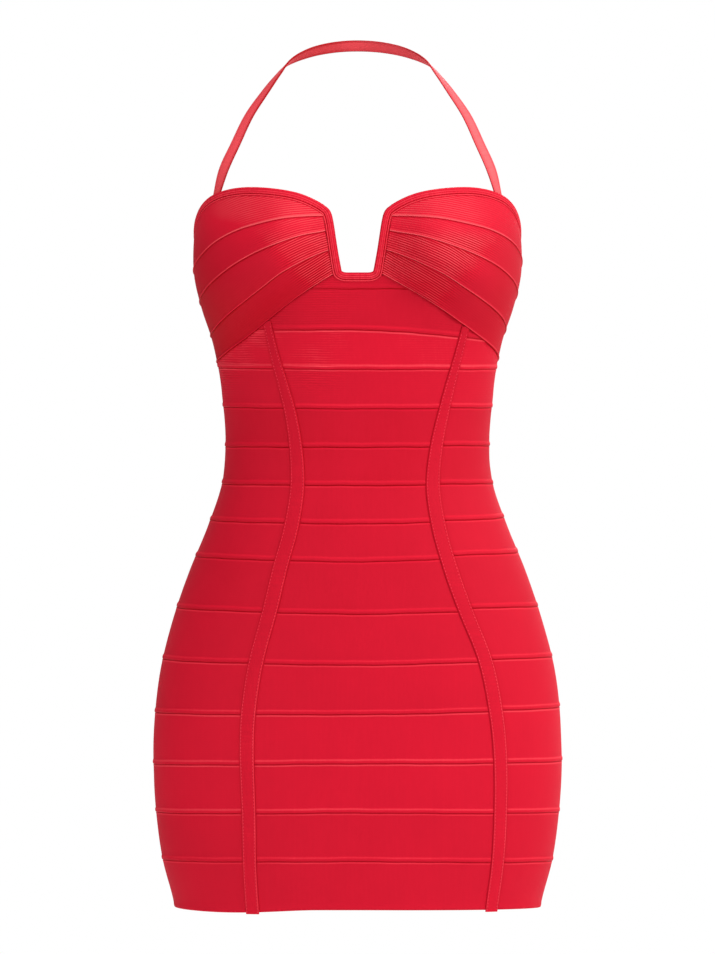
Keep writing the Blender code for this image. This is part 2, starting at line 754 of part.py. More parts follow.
clear_scene()
dress_pieces = new_collection("bodycon_dress")
cutters = new_collection("cutters")
hem_centre = new_empty("hem_centre", -NAPE)
build_front()
build_backs()
build_cups()
build_tapes()
build_bindings()
build_strap()
build_zip_tape()
build_tab(build_slider())
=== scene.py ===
"""A red bodycon dress in bandage knit with a halter neck, filled out as it is worn.

The dress is measured in millimetres: heights up from the hem, and angles round the body
from the centre front, positive towards the wearer's left (+X). Front is -Y, up is +Z.
"""

import math

import bmesh
import bpy
import numpy as np
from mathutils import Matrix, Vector


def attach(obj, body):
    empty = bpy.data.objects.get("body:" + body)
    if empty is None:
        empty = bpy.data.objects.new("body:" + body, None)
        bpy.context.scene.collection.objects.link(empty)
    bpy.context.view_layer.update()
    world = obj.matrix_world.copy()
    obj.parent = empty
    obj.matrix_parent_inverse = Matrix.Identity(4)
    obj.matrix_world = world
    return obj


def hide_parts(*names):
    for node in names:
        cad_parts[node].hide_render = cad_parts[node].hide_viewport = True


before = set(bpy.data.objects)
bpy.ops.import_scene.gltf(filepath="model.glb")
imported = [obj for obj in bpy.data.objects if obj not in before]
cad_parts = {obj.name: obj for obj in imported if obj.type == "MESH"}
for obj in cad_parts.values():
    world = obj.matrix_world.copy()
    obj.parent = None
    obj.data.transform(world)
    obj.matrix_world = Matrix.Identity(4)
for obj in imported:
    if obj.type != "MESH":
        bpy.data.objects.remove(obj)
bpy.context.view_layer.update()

MM = 0.001
HEM_TO_ROW = np.array((0.0, 65.2, 793.5))  # the nape's place in the dress's own measures

# --- The studio ------------------------------------------------------------------------
# A white room with a pale floor, brighter on the side of the windows, the wearer's left.
# Two soft lights stand on that side too, and one each at the other side, above and behind.

EYE_HEIGHT = 475.0  # of the camera, above the hem
CAMERA_AWAY = 10.0  # metres
SENSOR = 36.0
PIXEL = 0.92  # millimetres of the dress for each pixel of a frame 715 pixels wide
FRAME_WIDTH = 715 * PIXEL * MM
LOOK_DOWN = 87 * PIXEL * MM / CAMERA_AWAY  # the eye is 87 pixels above the frame's middle
DRESS_MIDDLE = 400.0  # above the hem
FLOOR_BELOW = 620.0  # under the hem
FLOOR_SIZE = 10.0  # metres
FLOOR_GREY = (0.86, 0.86, 0.86, 1.0)
ROOM_GLOW = (0.14, 0.86)  # as it lights the dress, from its dim side to its bright one
ROOM_SIDES = (-0.9, 0.9)  # how far to the sides these two are reached
ROOM_WHITE = 1.0  # and as it is seen

scene = bpy.context.scene
scene.view_settings.view_transform = "Standard"
camera_data = bpy.data.cameras.new("camera")
camera_data.sensor_fit = "HORIZONTAL"
camera_data.sensor_width = SENSOR
camera_data.lens = SENSOR * CAMERA_AWAY / FRAME_WIDTH
camera_data.clip_end = 60.0
camera = bpy.data.objects.new("camera", camera_data)
camera.location = (0.0, -HEM_TO_ROW[1] * MM - CAMERA_AWAY, (EYE_HEIGHT - HEM_TO_ROW[2]) * MM)
camera.rotation_euler = (math.pi / 2 - LOOK_DOWN, 0.0, 0.0)
scene.collection.objects.link(camera)
scene.camera = camera

# name, place, where it looks (metres, from the middle of the dress), size, watts
LIGHTS = (
    ("key", (3.4, -1.7, 1.8), (0.0, 0.0, 0.05), 1.6, 62.5),
    ("rim", (3.1, 1.0, 1.5), (0.0, 0.0, 0.05), 1.4, 12.0),
    ("fill", (-2.9, -2.9, 0.5), (0.0, 0.0, 0.0), 2.2, 44.0),
    ("top", (0.2, -1.3, 3.0), (0.0, 0.0, 0.1), 1.5, 44.0),
    ("behind", (0.5, 3.3, 1.8), (0.0, 0.0, 0.0), 2.0, 75.0),
)
middle = Vector((0.0, -HEM_TO_ROW[1], DRESS_MIDDLE - HEM_TO_ROW[2])) * MM
for name, place, target, size, watts in LIGHTS:
    lamp = bpy.data.lights.new(name, "AREA")
    lamp.size = size
    lamp.energy = watts
    lamp_object = bpy.data.objects.new(name, lamp)
    lamp_object.location = middle + Vector(place)
    way = Vector(target) - Vector(place)
    lamp_object.rotation_euler = way.to_track_quat("-Z", "Y").to_euler()
    scene.collection.objects.link(lamp_object)


def feed(tree, node, inputs):
    """Gives each input of a node its value, or its link from another node."""
    for key, value in inputs.items():
        if isinstance(value, bpy.types.NodeSocket):
            tree.links.new(value, node.inputs[key])
        else:
            node.inputs[key].default_value = value


def new_node(tree, kind, inputs, **attributes):
    """A node with its inputs fed, and its other settings."""
    node = tree.nodes.new(kind)
    for key, value in attributes.items():
        setattr(node, key, value)
    feed(tree, node, inputs)
    return node


def ranged(tree, source, low, high, to_low, to_high, smooth=False):
    """A value that goes from one number to another as the source goes from low to high."""
    names = ("Value", "From Min", "From Max", "To Min", "To Max")
    inputs = dict(zip(names, (source, low, high, to_low, to_high)))
    shape = "SMOOTHSTEP" if smooth else "LINEAR"
    return new_node(tree, "ShaderNodeMapRange", inputs, interpolation_type=shape).outputs["Result"]


def new_material(name):
    """A material, its nodes and its shader."""
    material = bpy.data.materials.new(name)
    material.use_nodes = True
    return material, material.node_tree, material.node_tree.nodes["Principled BSDF"]


room = bpy.data.worlds.new("white_room")
scene.world = room
room.use_nodes = True
tree = room.node_tree
way = new_node(tree, "ShaderNodeTexCoord", {}).outputs["Generated"]
sideways = new_node(tree, "ShaderNodeSeparateXYZ", {"Vector": way}).outputs["X"]
side_glow = ranged(tree, sideways, *ROOM_SIDES, *ROOM_GLOW, smooth=True)
seen = new_node(tree, "ShaderNodeLightPath", {}).outputs["Is Camera Ray"]
strength = ranged(tree, seen, 0.0, 1.0, side_glow, ROOM_WHITE)
feed(tree, tree.nodes["Background"], {"Color": (1.0, 1.0, 1.0, 1.0), "Strength": strength})

level = (-FLOOR_BELOW - HEM_TO_ROW[2]) * MM
bpy.ops.object.select_all(action="DESELECT")
bpy.ops.mesh.primitive_plane_add(size=FLOOR_SIZE, location=(0.0, 0.0, level))
floor = bpy.context.object
floor.name = "floor"
bpy.ops.object.transform_apply(location=True)
floor_paint, tree, shader = new_material("pale_floor")
feed(tree, shader, {"Base Color": FLOOR_GREY, "Roughness": 0.8})
floor.data.materials.append(floor_paint)

# --- The panels ------------------------------------------------------------------------
# Centre front, two side fronts and two backs in dense red bandage knit, shaped on the
# knitting frame. Each band ends in a rolled welt, sewn down along its lower edge, and
# fine ribs run round the body. The panels are sewn edge to edge and stretched as worn.

GAP = 0.3  # between two pieces that are sewn edge to edge, or that lie on each other
WALL = 1.8

# The body: height, half width, depth of the front, depth of the back
SECTIONS = (
    (-10, 167.0, 99.0, 103.0),
    (0, 168.4, 100.0, 104.5),
    (43, 179.3, 104.5, 111.0),
    (87, 185.4, 108.5, 117.5),
    (131, 188.0, 112.0, 122.0),
    (175, 186.6, 114.0, 124.0),
    (219, 181.2, 114.0, 122.0),
    (263, 170.1, 111.0, 115.5),
    (308, 154.9, 105.0, 105.5),
    (352, 137.0, 97.0, 94.5),
    (389, 124.7, 90.0, 86.5),
    (425, 121.4, 86.5, 82.0),
    (462, 123.7, 87.0, 82.5),
    (492, 127.4, 89.5, 85.0),
    (521, 133.4, 92.0, 88.0),
    (550, 143.0, 95.0, 90.5),
    (580, 150.0, 97.5, 92.5),
    (609, 150.5, 97.5, 94.0),
    (639, 147.0, 95.0, 94.5),
    (670, 143.0, 90.5, 94.5),
)
SQUARENESS = 2.15  # 2 is an ellipse, more is squarer

# The lines between the bands, from the hem up: height at the centre front, rise at the
# wearer's right side, rise at the left side, step at the left tape, and the painted light of
# the band above: how much lighter or darker the whole band is painted, as light and shade
# fall on it
BAND_LINES = (
    (0.9, -1.2, -1.6, 0.0, 0.14),
    (45.5, -2.4, -3.7, 0.0, 0.14),
    (89.9, -3.0, -2.8, 0.0, 0.28),
    (134.8, -3.7, -0.7, 0.0, 0.28),
    (179.6, -1.0, 4.0, 1.2, 0.16),
    (224.5, 3.5, 5.2, 2.4, 0.08),
    (270.8, 4.9, 5.4, 2.6, -0.02),
    (318.3, 4.2, 7.5, 2.6, 0.04),
    (352.8, 2.5, 5.0, 0.9, 0.02),
    (387.7, 1.0, 0.8, 1.0, -0.08),
    (422.5, 0.5, 0.9, 1.1, -0.10),
    (457.7, 1.8, 0.8, 0.6, 0.12),
    (493.7, 1.8, 0.2, 0.0, 0.34),
    (529.7, 0.0, -13.0, 0.0, 0.0),
    (567.0, 0.0, 0.0, 0.0, 0.0),
)
LINE_BEND = 0.8  # how early their rise begins on the way to the side
STEP_REACH = 1.6  # how early their step is lost there
SIDE_LINES = 14  # how many of them the side fronts have
BACK_LINES = 12  # and the backs, where the cups' lines run on above them
HEM_DIP = 2.6  # how far the hem dips in the middle of the wearer's right side front
HEM_DIP_ENDS = (-95.0, -20.0)  # angles between which it dips

# The princess seams: height, angle between each seam and the middle of the two, and how
# far that middle turns to the wearer's left
PRINCESS_SEAMS = (
    (-10, 54.0, 5.5),
    (0, 53.9, 5.5),
    (88, 52.2, 5.9),
    (180, 50.1, 5.1),
    (232, 47.1, 4.8),
    (274, 42.9, 4.0),
    (312, 40.0, 3.3),
    (352, 37.5, 3.6),
    (388, 37.5, 4.0),
    (423, 40.2, 4.6),
    (455, 43.5, 5.0),
    (486, 47.0, 4.7),
    (510, 49.5, 4.5),
    (545, 51.6, 4.4),
)
SIDE_SEAM = 98.0  # angle
CENTRE_BACK = 180.0
# The tapes over the princess seams: height, half width
TAPE_WIDTHS = ((-10, 6.3), (430, 6.1), (480, 5.1), (520, 4.2), (545, 3.9))

# The lines across a cup: angle, lower edge, third line, second line, first line. Past
# the side seam they run on across the back.
CUP_LINES = (
    (8, 585.0, 608.0, 622.5, 633.0),
    (14, 579.5, 603.0, 620.6, 633.0),
    (20, 573.4, 599.4, 618.4, 632.8),
    (30, 562.6, 591.8, 615.0, 632.0),
    (40, 550.0, 581.6, 608.8, 630.0),
    (50, 536.2, 567.6, 600.6, 625.8),
    (60, 523.6, 554.0, 590.2, 620.0),
    (70, 513.4, 541.6, 577.6, 610.4),
    (80, 505.4, 531.2, 565.4, 597.0),
    (90, 500.8, 524.8, 556.0, 585.6),
    (100, 498.4, 521.6, 550.2, 578.6),
    (140, 496.0, 518.0, 545.0, 572.0),
    (180, 495.0, 517.0, 544.0, 571.0),
)
CUP_TURN = 4.4  # these lines turn to the wearer's left too, but not at the notch
CUP_PAD = 1.2  # the cups are thicker than the panels by this
PAD_STARTS = (9.0, 15.0)  # angles between which the pad grows to that
PAD_ENDS = 70.0  # and from which it thins again to the side seam
CUP_FILL = 30.0  # how far a cup is rounded forward at its fullest
CUP_FULLEST = 0.45  # share of the cup's height where it is fullest
CUP_TOP_SHARE = 0.35  # share of the fullness that is left at its top
CUP_SPRING = 1.5  # how softly it springs from its lower edge
CUP_FALL = 1.6  # and how softly it falls back to its top
CUP_PAST = 1.3  # share of its height up to which it goes on
CUP_INNER, CUP_APEX = 11.0, 43.0  # angles where its rounding begins, and is fullest

# Where the cloth ends in the neckline's binding: angle, height
NECKLINE = (
    (0.0, 573.7),
    (4.0, 573.7),
    (7.0, 573.8),
    (9.6, 574.9),
    (11.5, 577.0),
    (12.8, 579.8),
    (13.6, 586.5),
    (15.2, 602.0),
    (16.8, 619.5),
    (18.3, 632.4),
    (19.9, 635.5),
    (23.6, 639.6),
    (32.6, 646.4),
    (45.2, 650.6),
    (56.8, 651.8),
    (65.8, 649.0),
    (72.6, 644.0),
    (78.7, 636.1),
    (84.0, 627.0),
    (90.0, 617.5),
    (98.0, 606.5),
    (115.0, 591.5),
    (135.0, 576.5),
    (158.0, 563.8),
    (180.0, 560.0),
)
NOTCH_PEAK = 12.8  # angle where the notch, the cup and the front meet
NOTCH_CORNER = 18.3  # angle where a cup's inner side turns into its top
NEAR = 0.01  # a row this near to one of these two angles counts as on it
# Angles of the front's columns at its top, which meet the notch and the cups, and the
# heights between which the columns turn to them
FRONT_TOP = (-38, -25, -12.8, -11.5, -9.6, -7, 0, 7, 9.6, 11.5, 12.8, 25, 40)
FRONT_TURNS = (470.0, 560.0)
FRONT_FINER = 6  # columns for each step from one of these angles to the next

# The welts: millimetres above the line, and how far they stand out
WELT = (
    (-2.4, 0.0),
    (-1.5, 0.07),
    (-0.8, 0.13),
    (-0.35, 0.04),
    (0.0, -0.36),
    (0.22, 0.05),
    (0.55, 0.42),
    (1.0, 0.60),
    (1.8, 0.66),
    (2.7, 0.66),
    (3.3, 0.56),
    (3.8, 0.34),
    (4.4, 0.12),
    (5.2, 0.0),
)
ROW_STEP = 4.6  # between rows of points away from the welts
LEAST_BAND = 12.0  # a band has rows for at least this height
SIDE_COLUMNS, BACK_COLUMNS, CUP_COLUMNS = 36, 62, 54  # columns of points across each

# The hem has a plain turned edge in place of a welt
HEM_EDGE = (
    (-0.1, -0.60),
    (0.0, -0.60),
    (0.3, -0.10),
    (0.8, 0.16),
    (2.2, 0.30),
    (4.0, 0.16),
    (5.6, 0.0),
)
# Painted light on the welts: how much lighter or darker the yarn is painted there, a painted
# highlight on the roll and on the line below the crease, and painted shade in the crease
WELT_PAINTED_LIGHT = (
    (-2.4, 0.0),
    (-1.5, 0.52),
    (-0.8, 0.40),
    (-0.35, -0.42),
    (0.0, -0.95),
    (0.22, -0.72),
    (0.55, -0.36),
    (1.0, -0.08),
    (2.3, 0.06),
    (2.9, 0.26),
    (3.7, 0.46),
    (4.4, 0.20),
    (5.2, -0.06),
    (7.8, 0.0),
)

# The yarn's colour as it lies; the paler red of its lighter patches and of painted
# highlights; and the darker red of its darker patches and of painted shade in the creases
KNIT_RED = (0.592, 0.0066, 0.0246)
KNIT_PALE_AND_HIGHLIGHT = (0.900, 0.0650, 0.0900)
KNIT_DARK_AND_SHADE = (0.400, 0.0004, 0.0030)
BRIGHT_AT, BRIGHTER = 0.42, 1.17  # up to this tone the red only gets this much brighter
RIB_PITCH = 2.15
WALE_PITCH = 1.15
TUCK, TUCK_DIP = 0.8, -0.75  # how the top edge goes on under the piece above it
WELD = 0.004  # corners nearer than this are one
INNER_EASE = 0.05  # the inner face lies this much less deep
# How fine the knit's unevenness is: soft patches all over, streaks along the ribs, pulled
# threads up the body, and fuzz
PATCHES, FUZZ = 17.0, 1500.0
STREAKS, PULLS = (60.0, 620.0), (330.0, 22.0)
PATCH_TONE, STREAK_TONE = 0.06, 0.14  # how far the first two change the yarn's tone
# Values of the noise between which these two, the pulled threads and the ribs come up
NOISE_SPAN, PULL_SPAN, RIB_SPAN = (0.3, 0.7), (0.45, 0.75), (0.40, 0.62)
SETTLING = 12  # rounds in which the place of a column on a slanting line is found
FIRST_GUESS = 60.0  # and the angle at which they take the line's height to begin with
SIDES = ((1, "left"), (-1, "right"))  # of the wearer
pieces = {}  # by the node that each stands for


def curve(table, column, at):
    """A smooth curve through one column of a table, over the table's first column."""
    knots = np.array([row[0] for row in table], float)
    values = np.array([row[column] for row in table], float)
    widths = np.diff(knots)
    steps = np.diff(values) / widths
    inner = (steps[:-1] * widths[1:] + steps[1:] * widths[:-1]) / (widths[1:] + widths[:-1])
    slopes = np.concatenate((steps[:1], inner, steps[-1:]))
    at = np.clip(at, knots[0], knots[-1])
    left = np.clip(np.searchsorted(knots, at) - 1, 0, len(widths) - 1)
    width = widths[left]
    t = (at - knots[left]) / width
    ends = values[left] * (1 + 2 * t) * (1 - t) ** 2 + values[left + 1] * t**2 * (3 - 2 * t)
    bend = slopes[left] * (1 - t) - slopes[left + 1] * t
    return ends + width * t * (1 - t) * bend


def through(rows, steps):
    """Rows on a smooth curve through a table of rows, so many to each stretch of it."""
    rows = np.array(rows, float)
    padded = np.vstack((2 * rows[0] - rows[1], rows, 2 * rows[-1] - rows[-2]))
    found = []
    for i in range(len(rows) - 1):
        a, b, c, d = padded[i : i + 4]
        for t in np.arange(steps) / steps:
            cubic = (3 * b - a - 3 * c + d) * t**3
            found.append(b + 0.5 * ((c - a) * t + (2 * a - 5 * b + 4 * c - d) * t**2 + cubic))
    return np.array(found + [rows[-1]])


def eased(low, high, at):
    """0 below low, 1 above high, and a soft step between."""
    t = np.clip((np.asarray(at, float) - low) / (high - low), 0, 1)
    return t * t * (3 - 2 * t)


NECKLINE_PATH = through(NECKLINE, 2)


def unit(ways):
    """The same ways, each 1 long."""
    return ways / np.linalg.norm(ways, axis=-1, keepdims=True)


def neckline(angle):
    """Height of the cloth's upper edge, which the notch's inner side leaves out."""
    rows = NECKLINE_PATH
    rows = rows[(rows[:, 0] <= NOTCH_PEAK + NEAR) | (rows[:, 0] >= NOTCH_CORNER - NEAR)]
    return np.interp(np.abs(angle), rows[:, 0], rows[:, 1])


def notch_side(height):
    """Angle of a cup's inner side, beside the notch."""
    rows = NECKLINE_PATH[NECKLINE_PATH[:, 0] >= NOTCH_PEAK - NEAR]
    rows = rows[rows[:, 0] <= NOTCH_CORNER + NEAR]
    return np.interp(height, rows[:, 1], rows[:, 0])


def cup_line(number, angle):
    """Height of a cup's line, from 1 at its lower edge to 4 under its top."""
    turn = CUP_TURN * np.sin(np.radians(angle)) ** 2
    return curve(CUP_LINES, number, np.abs(angle - turn))


def fullness(angle, height):
    """How far a cup is rounded forward of the body there."""
    low = cup_line(1, angle)
    high = neckline(np.maximum(np.abs(angle), NOTCH_CORNER))
    up = np.clip((height - low) / (high - low), 0, CUP_PAST)
    beyond = np.maximum(up - CUP_FULLEST, 0) / (1 - CUP_FULLEST)
    below = np.sin(math.pi / 2 * np.minimum(up / CUP_FULLEST, 1)) ** CUP_SPRING
    rise = below - (1 - CUP_TOP_SHARE) * beyond**CUP_FALL
    across = np.interp(np.abs(angle), (CUP_INNER, CUP_APEX, SIDE_SEAM), (0, 0.5, 1))
    return CUP_FILL * rise * np.sin(math.pi * across) ** 2


def padding(angle):
    """How far the cups stand proud of the panels, and the binding with them."""
    angle = np.abs(angle)
    return CUP_PAD * eased(*PAD_STARTS, angle) * (1 - eased(PAD_ENDS, SIDE_SEAM, angle))


def body(angle, height, cups):
    """Points of the cloth's outer face, before padding and welts."""
    angle, height = np.broadcast_arrays(np.asarray(angle, float), np.asarray(height, float))
    turn = np.radians(angle)
    across = curve(SECTIONS, 1, height)
    depth = np.where(np.cos(turn) > 0, curve(SECTIONS, 2, height), curve(SECTIONS, 3, height))
    x, y = np.sin(turn), -np.cos(turn)
    share = np.abs(x / across) ** SQUARENESS + np.abs(y / depth) ** SQUARENESS
    radius = share ** (-1 / SQUARENESS)
    forward = fullness(angle, height) if cups else 0.0
    return np.stack((x * radius, y * radius - forward, height), axis=-1)


def outward(angle, height, cups):
    """Unit normals of the body."""
    around = body(angle + 0.2, height, cups) - body(angle - 0.2, height, cups)
    upward = body(angle, height + 0.5, cups) - body(angle, height - 0.5, cups)
    return unit(np.cross(around, upward))


def raised(angle, height, out, cups=False):
    """Points that stand out from the body by so much."""
    out = np.broadcast_to(out, np.broadcast(angle, height).shape)
    return body(angle, height, cups) + outward(angle, height, cups) * out[..., None]


def degree(angle, height):
    """Millimetres round the body for a degree there."""
    step = body(angle + 0.5, height, False) - body(angle - 0.5, height, False)
    return np.linalg.norm(step, axis=-1)


def band_line(row, angle, step_share=0.0):
    """Height of a line between two bands of the panels."""
    centre, right_rise, left_rise, step, _ = row
    rise = np.where(np.asarray(angle) > 0, left_rise, right_rise)
    behind = eased(SIDE_SEAM, CENTRE_BACK, np.abs(angle))
    rise = rise + ((right_rise + left_rise) / 2 - rise) * behind
    forward = np.cos(np.radians(np.minimum(np.abs(angle), 90)))
    step = step * step_share * np.minimum(1, STEP_REACH * forward)
    return centre + rise * (1 - forward) ** LINE_BEND + step


def hem_dip(angle):
    """How far the hem hangs lower there."""
    start, end = HEM_DIP_ENDS
    along = np.clip((np.asarray(angle) - start) / (end - start), 0, 1)
    return HEM_DIP * np.sin(math.pi * along) ** 2


# The lines are sewn by hand and eye, and wander a little: how far, how many waves round
# the body, and how far each line's waves are turned from those of the line below
WANDER = ((0.14, 9, 1.7), (0.09, 23, 4.1))


def wander(number, angle):
    """How far a line lies above where it was meant to be."""
    turn = np.radians(angle)
    return sum(far * np.sin(waves * turn + on * number) for far, waves, on in WANDER)


def panel_lines(count, step_share=0.0):
    """The hem and so many of the lines above it, each as height over angle."""
    lines = [
        lambda a, n=n: band_line(BAND_LINES[n], a, step_share) + wander(n, a)
        for n in range(1, count)
    ]
    return [lambda a: band_line(BAND_LINES[0], a) - hem_dip(a)] + lines


def cup_lines():
    """The cups' four lines, each as height over angle."""
    return [lambda a, number=number: cup_line(number, a) for number in (1, 2, 3, 4)]


def under_cups(angle):
    """The panels' top edge: under the notch's binding, then along the cups."""
    under_notch = np.where(np.abs(angle) < NOTCH_PEAK + 0.1, neckline(angle), np.inf)
    return np.minimum(under_notch, cup_line(1, angle) - GAP)


def princess_seam(side):
    """Angle of a princess seam over height, on the wearer's left (1) or right (-1)."""

    def angle(height):
        return curve(PRINCESS_SEAMS, 2, height) + side * curve(PRINCESS_SEAMS, 1, height)

    return angle


def level_seam(at):
    """Angle of a seam that runs straight up."""
    return lambda height: np.full(np.shape(height), float(at))


# Soft troughs and ridges where the worn knit pulls: angle, height, reach in degrees, rise
# over that reach, half height, depth (a ridge is negative)
CREASES = (
    (-74, 398, 20, 8, 7, 0.45),
    (-66, 436, 17, -7, 8, 0.40),
    (-80, 462, 16, -10, 7, -0.35),
    (76, 405, 22, 9, 8, 0.45),
    (70, 441, 16, -6, 7, 0.35),
    (84, 470, 15, -9, 8, -0.35),
    (-20, 411, 18, 3, 9, 0.18),
    (18, 444, 20, -4, 9, 0.18),
    (-82, 130, 20, 14, 16, 0.40),
    (80, 150, 22, 16, 17, 0.40),
    (34, 62, 16, 5, 13, 0.22),
    (-30, 205, 20, -6, 15, 0.20),
    (128, 402, 26, -7, 8, 0.85),
    (-133, 399, 28, -6, 8, 0.90),
    (146, 431, 24, -5, 8, 0.70),
    (-150, 436, 22, -7, 8, 0.75),
    (138, 463, 22, 6, 7, -0.50),
    (-140, 460, 24, 5, 8, -0.50),
    (152, 372, 22, 8, 9, 0.60),
    (-154, 368, 24, 7, 9, 0.55),
    (120, 250, 20, -12, 16, 0.45),
    (-122, 262, 22, -12, 16, 0.45),
    (140, 96, 24, 6, 15, 0.40),
    (-136, 88, 22, 8, 15, 0.40),
)
CREASE_ENDS = 1.6  # how much sooner they fade along than across
# Slow waves all over it: how far, how many round the body, how they turn for each
# millimetre up it and from where, and how they swell and fade up it and from where
SLOW_WAVES = (
    (0.13, 5, 0.023, 0.6, 0.031, 1.3),
    (0.07, 13, -0.045, 2.1, 0.0, math.pi / 2),
)


def unevenness(angle, height):
    """How far the worn knit stands in or out of the smooth body."""
    turn = np.radians(angle)
    out = 0.0
    for far, waves, lean, start, swell, begin in SLOW_WAVES:
        wave = far * np.sin(waves * turn + lean * height + start)
        out = out + wave * np.sin(swell * height + begin)
    for at, level, reach, rise, half, depth in CREASES:
        along = (angle - at) / reach
        across = (height - level - rise * along) / half
        out = out - depth * np.exp(-CREASE_ENDS * along**2 - across**2)
    return out


def relief(angle, height, lines, profiles):
    """What the profiles of the welts, one to each line, come to there."""
    total = 0.0
    for line, profile in zip(lines, profiles):
        above, out = np.array(profile, float).T
        total = total + np.interp(height - line(angle), above, out, 0, 0)
    return total


def finished(name, verts, faces, uvs, material, sharp=60.0, tones=None):
    """An object with its mesh in metres in the row frame, from points in millimetres.

    Corners that fall together are made one, and faces that this closes are left out.
    The tones are the painted light and shade: how much lighter or darker the yarn is painted at
    each point.
    """
    keys = np.round(np.asarray(verts) / WELD).astype(np.int64)
    _, first, same = np.unique(keys, axis=0, return_index=True, return_inverse=True)
    same = same.ravel()
    kept_faces, kept_uvs = [], []
    for corners, places in zip(faces, uvs):
        joined = [int(same[v]) for v in corners]
        ring = [k for k in range(len(joined)) if joined[k] != joined[k - 1]]
        if len(ring) > 2 and len({joined[k] for k in ring}) == len(ring):
            kept_faces.append([joined[k] for k in ring])
            kept_uvs.extend(places[k] for k in ring)
    mesh = bpy.data.meshes.new(name)
    points = (np.asarray(verts)[first] - HEM_TO_ROW) * MM
    mesh.from_pydata(points.tolist(), [], kept_faces)
    layer = mesh.uv_layers.new(name="cloth")
    layer.data.foreach_set("uv", np.asarray(kept_uvs, np.float32).ravel() * MM)
    if tones is not None:
        tone = mesh.attributes.new("tone", "FLOAT", "POINT")
        tone.data.foreach_set("value", np.asarray(tones, np.float32)[first])
    mesh.materials.append(material)
    mesh.shade_smooth()
    mesh.set_sharp_from_angle(angle=math.radians(sharp))
    mesh.validate()
    obj = bpy.data.objects.new(name, mesh)
    scene.collection.objects.link(obj)
    return obj


def grid_faces(rows, columns):
    """The quads of a grid of points."""
    first = np.arange((rows - 1) * columns).reshape(-1, columns)[:, :-1]
    return first.reshape(-1, 1) + (0, 1, columns + 1, columns)


def dressed(piece, node):
    """The piece stands for its solid, and moves with the dress."""
    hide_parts(node)
    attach(piece, "dress")
    pieces[node] = piece
    return piece


def turned_over(columns):
    """The columns of the same panel on the other side of the body."""
    return [(1 - share, -on, -tapes, *rest) for share, on, tapes, *rest in reversed(columns)]


def on_side(side, seams, columns):
    """The seams and columns of a piece on the left, or those of its twin on the right."""
    return (seams, columns) if side > 0 else (seams[::-1], turned_over(columns))


# Columns up a panel: share of the way from its first seam to its second, then
# millimetres on, then half tape widths on, how much of the welts shows there, and how
# far the seam pulls the cloth in, which is also painted as shade there
AT_FIRST_TAPE = [
    (0, -0.1, 0, 0, 0),
    (0, -0.3, 1, 0, -0.1),
    (0, 0.2, 1, 0.35, -0.22),
    (0, 0.9, 1, 0.9, -0.06),
    (0, 2.2, 1, 1, 0),
]
AT_SECOND_TAPE = turned_over(AT_FIRST_TAPE)
AT_FIRST_SEAM = [
    (0, -0.12, 0, 0.3, -0.5),
    (0, 0.4, 0, 0.6, -0.2),
    (0, 1.0, 0, 0.9, 0),
    (0, 2.2, 0, 1, 0),
]
AT_SECOND_SEAM = turned_over(AT_FIRST_SEAM)


def columns_between(first, second, count):
    """The columns at two seams, and so many even ones between them."""
    start, end = np.array(first[-1], float), np.array(second[0], float)
    between = [tuple(start + (end - start) * k / (count + 1)) for k in range(1, count + 1)]
    return first + between + second


